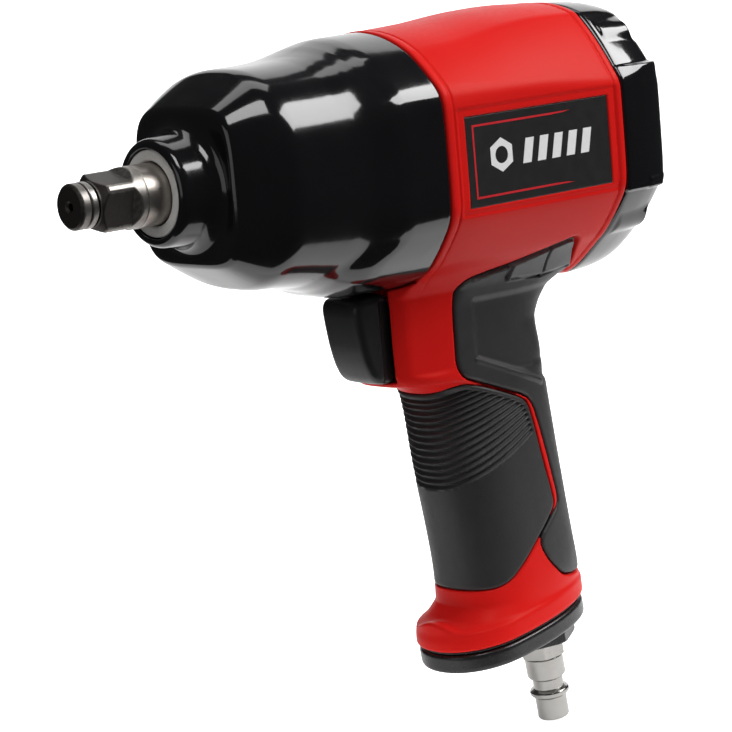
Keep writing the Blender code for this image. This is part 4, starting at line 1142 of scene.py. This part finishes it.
def screw_head(x, y, z):
    """A socket cap screw along X, with its head's rear face at 0."""
    radius = np.hypot(y, z)
    half = SCREW_HEAD / 2
    head = meet(radius - 3.6, np.abs(x + half) - half, 0.7)
    shank = both(radius - 2.0, x + 2.5, -100.0 - x)
    return carve(either(head, shank), both(hexagon(y, z, 3.6), -2.0 - x), 0.2)


# ---- badges: flat outlines are (x, z) ----
PRINT_PROUD = 0.04


def print_sheet(name, outlines, mat, side):
    """Printed areas, a little proud of the plate on one side of the tool."""
    verts, faces = [], []
    for ring in outlines:
        n = len(ring)
        first = len(verts)
        for y in (side * 32.9, side * (LABEL_FACE + PRINT_PROUD)):
            verts += [(x * MM, y * MM, z * MM) for x, z in ring]
        for i in range(n):
            j = (i + 1) % n
            faces.append((first + i, first + j, first + n + j, first + n + i))
        faces.append(tuple(first + n + i for i in range(n)))
        faces.append(tuple(first + i for i in reversed(range(n))))
    mesh = bpy.data.meshes.new(name)
    mesh.from_pydata(verts, [], faces)
    work = bmesh.new()
    work.from_mesh(mesh)
    bmesh.ops.recalc_face_normals(work, faces=work.faces)
    work.to_mesh(mesh)
    work.free()
    piece(mesh, mat, "housing", "label_black")


def bracket():
    """A frame that opens towards the rear; its arms taper off."""
    front, rear, top, bottom, line = 110.3, 147.6, 8.0, -12.2, 0.6
    return [
        [(front, bottom), (front, top), (front + line, top - line), (front + line, bottom + line)],
        [(front, top), (rear, top - 0.05), (rear - 2.5, top - 0.42), (front + 30, top - line),
         (front + line, top - line)],
        [(front, bottom), (front + line, bottom + line), (front + 30, bottom + line),
         (rear - 2.5, bottom + 0.42), (rear, bottom + 0.05)],
    ]


def pictogram():
    """A nut with its round hole, and five slanted bars."""
    outer_radius, hole_radius = 4.7, 2.35

    def rim(angle):
        within = (angle + math.pi / 6) % (math.pi / 3) - math.pi / 6
        return outer_radius * math.cos(math.pi / 6) / math.cos(within)

    def polar(radius, angle):
        return 120.6 + radius * math.cos(angle), -1.2 + radius * math.sin(angle)

    nut = []
    for k in range(36):
        start, end = 2 * math.pi * k / 36, 2 * math.pi * (k + 1) / 36
        nut.append([
            polar(rim(start), start), polar(rim(end), end),
            polar(hole_radius, end), polar(hole_radius, start),
        ])
    bars = [
        [(128.4 + 5.6 * k, -4.6), (131.6 + 5.6 * k, -4.6), (133.2 + 5.6 * k, 2.2),
         (130.0 + 5.6 * k, 2.2)]
        for k in range(5)
    ]
    return nut + bars


def badge(side):
    tag = "left" if side < 0 else "right"

    def plate(x, y, z):
        low = (LABEL_FRONT - 0.1, 32.3, LABEL_BOTTOM - 0.1)
        high = (LABEL_REAR + 0.1, LABEL_FACE, LABEL_TOP + 0.1)
        return boxed(x, y * side, z, low, high, 0.25)

    low, high = sorted((side * 32.2, side * 33.1))
    shape(f"badge_{tag}", "label_black", LABEL_BLACK, plate, (LABEL_FRONT, low, LABEL_BOTTOM),
          (LABEL_REAR, high, LABEL_TOP), 0.33, f"label_plate_{tag}")
    print_sheet(f"badge_bracket_{tag}", bracket(), INK_RED, side)
    print_sheet(f"badge_pictogram_{tag}", pictogram(), INK_WHITE, side)


# ---- all pieces: low corner, high corner, cell, replaced CAD node ----
AXIS_DOWN = Vector(DOWN).to_track_quat("Z", "Y").to_matrix().to_4x4()
INLET_PLACE = Matrix.Translation(Vector(INLET)) @ AXIS_DOWN

shape("hammer_case_shell", "black_paint", PAINT, hammer_case,
      (25.6, -34, -37), (100.9, 34, 37), 0.66, "hammer_case")
shape("housing_shell", "red_nylon", RED, motor_housing,
      (94, -34, -144), (168.3, 34, 37.5), 0.58, "motor_housing")
shape("front_grip_pad", "grip_rubber", RUBBER, front_grip,
      (109, -17, -128), (149, 17, -64), 0.40, "front_grip")
shape("rear_grip_pad", "grip_rubber", RUBBER, rear_grip,
      (113.5, -25, -130), (168, 25, -28), 0.44, "rear_grip")
shape("rear_cover_shell", "cover_black", PAINT, rear_cover,
      (157.8, -34, -43), (190, 34, 37), 0.6, "rear_cover")
shape("trigger_pad", "black_plastic", TRIGGER_BLACK, trigger,
      (84, -8.2, -62.9), (99.4, 8.2, -36.5), 0.3, "trigger", body="trigger")
shape("anvil_square", "hardened_steel", DRIVE, square_drive,
      (0, -8.4, -8.4), (34, 8.4, 8.4), 0.17, "anvil", body="output_shaft")
shape("anvil_shaft", "hardened_steel", HARD, anvil_shaft,
      (33.5, -12, -12), (84.8, 12, 12), 0.45, body="output_shaft")
shape("retaining_ring", "steel", RING_STEEL, retaining_ring,
      (3, -6.3, -6.3), (5.5, 6.3, 6.3), 0.13, "socket_retaining_ring", body="output_shaft")
shape("nose_bushing", "sintered", SINTERED, bushing,
      (26, -11.7, -11.7), (42.8, 11.7, 11.7), 0.26, "anvil_bushing")
shape("foot_plate", "black_plastic", PLATE, base_plate,
      (108, -17.4, -153), (168, 17.4, -134), 0.36, "base_plate")
shape("foot_gasket", "seal", SEAL, base_gasket,
      (109, -17.2, -146), (167, 17.2, -135), 0.24, "base_gasket")
shape("inlet_hex", "cover_black", PLATE, inlet_bushing,
      (-11, -11, -14), (11, 11, 11.5), 0.3, "inlet_bushing", place=INLET_PLACE)
shape("inlet_plug", "nickel", NICKEL, inlet_nipple,
      (-7.2, -7.2, -4), (7.2, 7.2, 36), 0.2, "inlet_nipple", place=INLET_PLACE)
shape("selector_knob", "black_plastic", PLASTIC, direction_knob,
      (177, -9.9, -9.9), (195.6, 9.9, 14.6), 0.26, "direction_knob", body="direction_knob")
for index, (screw_y, screw_z) in enumerate(SCREWS, 1):
    shape(f"cover_bolt_{index}", "hardened_steel", DARK, screw_head,
          (-3.4, -3.8, -3.8), (0.2, 3.8, 3.8), 0.16, f"cover_screw_{index}",
          place=Matrix.Translation((SCREW_SEAT + SCREW_HEAD, screw_y, screw_z)))
badge(-1)
badge(1)
build_shapes()

# ---- stage, lights and camera (m) ----
CAMERA_AT = (-0.41859, -0.60757, 0.07368)
CAMERA_RIGHT = (0.75226, -0.65306, -0.08726)
CAMERA_UP = (0.17202, 0.06683, 0.98282)
CAMERA_FORWARD = (0.63601, 0.75435, -0.16261)
STAGE_CENTRE = Vector((0.10, 0.0, -0.1748))
FLOOR_LENGTH, BEND_RADIUS, WALL_TOP = 0.42, 0.22, 0.84
# (sideways place, front end) of the sheet's left and right edges. It ends a little in front of
# the tool, so the near side mirrors a dark room.
STAGE_EDGES = ((-0.26, -0.085), (0.36, -0.025))
LIGHT_AIM = Vector((0.08, -0.02, 0.0))
# Name, azimuth and elevation seen from the aim (degrees), distance, (width, height), radiance,
# and whether glossy surfaces mirror it. The two fills light the dull surfaces only.
LIGHTS = (
    ("key", -38, 39, 0.95, (0.72, 0.40), 9.5, True),
    ("front_key", -125, 61, 0.95, (0.38, 0.46), 6.5, True),
    ("front_fill", -178, 8, 0.95, (0.55, 0.50), 0.8, True),
    ("overhead", 60, 68, 1.1, (0.9, 0.35), 1.8, True),
    ("near_fill", -95, 12, 1.3, (0.9, 0.6), 1.55, False),
    ("nose_fill", -165, 15, 1.2, (0.8, 0.6), 1.4, False),
)


def stage_pale():
    mat = Material("stage_pale")
    color = mat.mix(mat.noise(3, detail=2), (0.84, 0.84, 0.84), (0.86, 0.86, 0.86))
    # The floor looks brighter to the camera than it does in the paint.
    glossy = mat.add("ShaderNodeLightPath").outputs["Is Glossy Ray"]
    glow = mat.math("SUBTRACT", 1.05, mat.times(glossy, 0.8))
    mat.set(
        Base_Color=color, Roughness=0.75, Specular_IOR_Level=0.1,
        Emission_Color=(1.0, 1.0, 1.0), Emission_Strength=glow,
    )
    # The sheet's back lets the camera see through, to look from behind and below.
    see_through = mat.add("ShaderNodeMixShader")
    mat.feed(see_through.inputs[0], mat.add("ShaderNodeNewGeometry").outputs["Backfacing"])
    mat.feed(see_through.inputs[1], mat.bsdf.outputs[0])
    mat.feed(see_through.inputs[2], mat.add("ShaderNodeBsdfTransparent").outputs[0])
    mat.feed(mat.tree.nodes["Material Output"].inputs["Surface"], see_through.outputs[0])
    return mat.mat


def stage_sweep():
    """A sheet that runs back under the tool and bends up into a wall."""
    mat = stage_pale()
    forward = Vector((CAMERA_FORWARD[0], CAMERA_FORWARD[1], 0)).normalized()
    right = Vector((forward.y, -forward.x, 0))
    bend = [
        (FLOOR_LENGTH + BEND_RADIUS * math.sin(angle), BEND_RADIUS - BEND_RADIUS * math.cos(angle))
        for angle in np.linspace(0, math.pi / 2, 16)[1:]
    ]
    wall = (FLOOR_LENGTH + BEND_RADIUS, WALL_TOP)
    # (distance back, height); None stands for each edge's own front end.
    profile = [(None, 0.0), (FLOOR_LENGTH, 0.0)] + bend + [wall]
    verts = []
    for along, up in profile:
        for side, front in STAGE_EDGES:
            back = front if along is None else along
            verts.append(STAGE_CENTRE + forward * back + right * side + Vector((0, 0, up)))
    faces = [(2 * k, 2 * k + 1, 2 * k + 3, 2 * k + 2) for k in range(len(profile) - 1)]
    sweep = bpy.data.meshes.new("stage_sweep")
    sweep.from_pydata([tuple(point) for point in verts], [], faces)
    sweep.shade_smooth()
    sweep.materials.append(mat)
    link_object("stage_sweep", sweep)


def studio_world():
    """White for the camera, a dim room for everything else."""
    world = bpy.data.worlds.new("studio")
    bpy.context.scene.world = world
    world.use_nodes = True
    nodes, links = world.node_tree.nodes, world.node_tree.links
    room, white = nodes["Background"], nodes.new("ShaderNodeBackground")
    for node, color, strength in (
        (room, (0.95, 0.97, 1.0, 1), 0.035), (white, (1, 1, 1, 1), 1.02),
    ):
        node.inputs[0].default_value = color
        node.inputs[1].default_value = strength
    path, pick = nodes.new("ShaderNodeLightPath"), nodes.new("ShaderNodeMixShader")
    links.new(path.outputs["Is Camera Ray"], pick.inputs[0])
    links.new(room.outputs[0], pick.inputs[1])
    links.new(white.outputs[0], pick.inputs[2])
    links.new(pick.outputs[0], nodes["World Output"].inputs["Surface"])


def softbox(name, azimuth, elevation, distance, size, radiance, mirrored):
    """A rectangular soft light turned to the aim."""
    turn, rise = math.radians(azimuth), math.radians(elevation)
    away = Vector((math.cos(rise) * math.cos(turn), math.cos(rise) * math.sin(turn), math.sin(rise)))
    at = LIGHT_AIM + distance * away
    light = bpy.data.lights.new(name, "AREA")
    light.shape = "RECTANGLE"
    light.size, light.size_y = size
    light.energy = radiance * math.pi * size[0] * size[1]
    obj = link_object(name, light)
    obj.location = at
    obj.rotation_euler = (LIGHT_AIM - at).to_track_quat("-Z", "Y").to_euler()
    obj.visible_glossy = mirrored


def add_camera():
    data = bpy.data.cameras.new("camera")
    data.sensor_width = 36.0
    data.lens = 142.5
    data.clip_start = 0.05
    camera = link_object("camera", data)
    back = [-part for part in CAMERA_FORWARD]
    rows = zip(CAMERA_RIGHT, CAMERA_UP, back, CAMERA_AT)
    camera.matrix_world = Matrix((*rows, (0, 0, 0, 1)))
    bpy.context.scene.camera = camera


stage_sweep()
studio_world()
for settings in LIGHTS:
    softbox(*settings)
bpy.context.scene.view_settings.view_transform = "Standard"
add_camera()

bpy.context.view_layer.update()
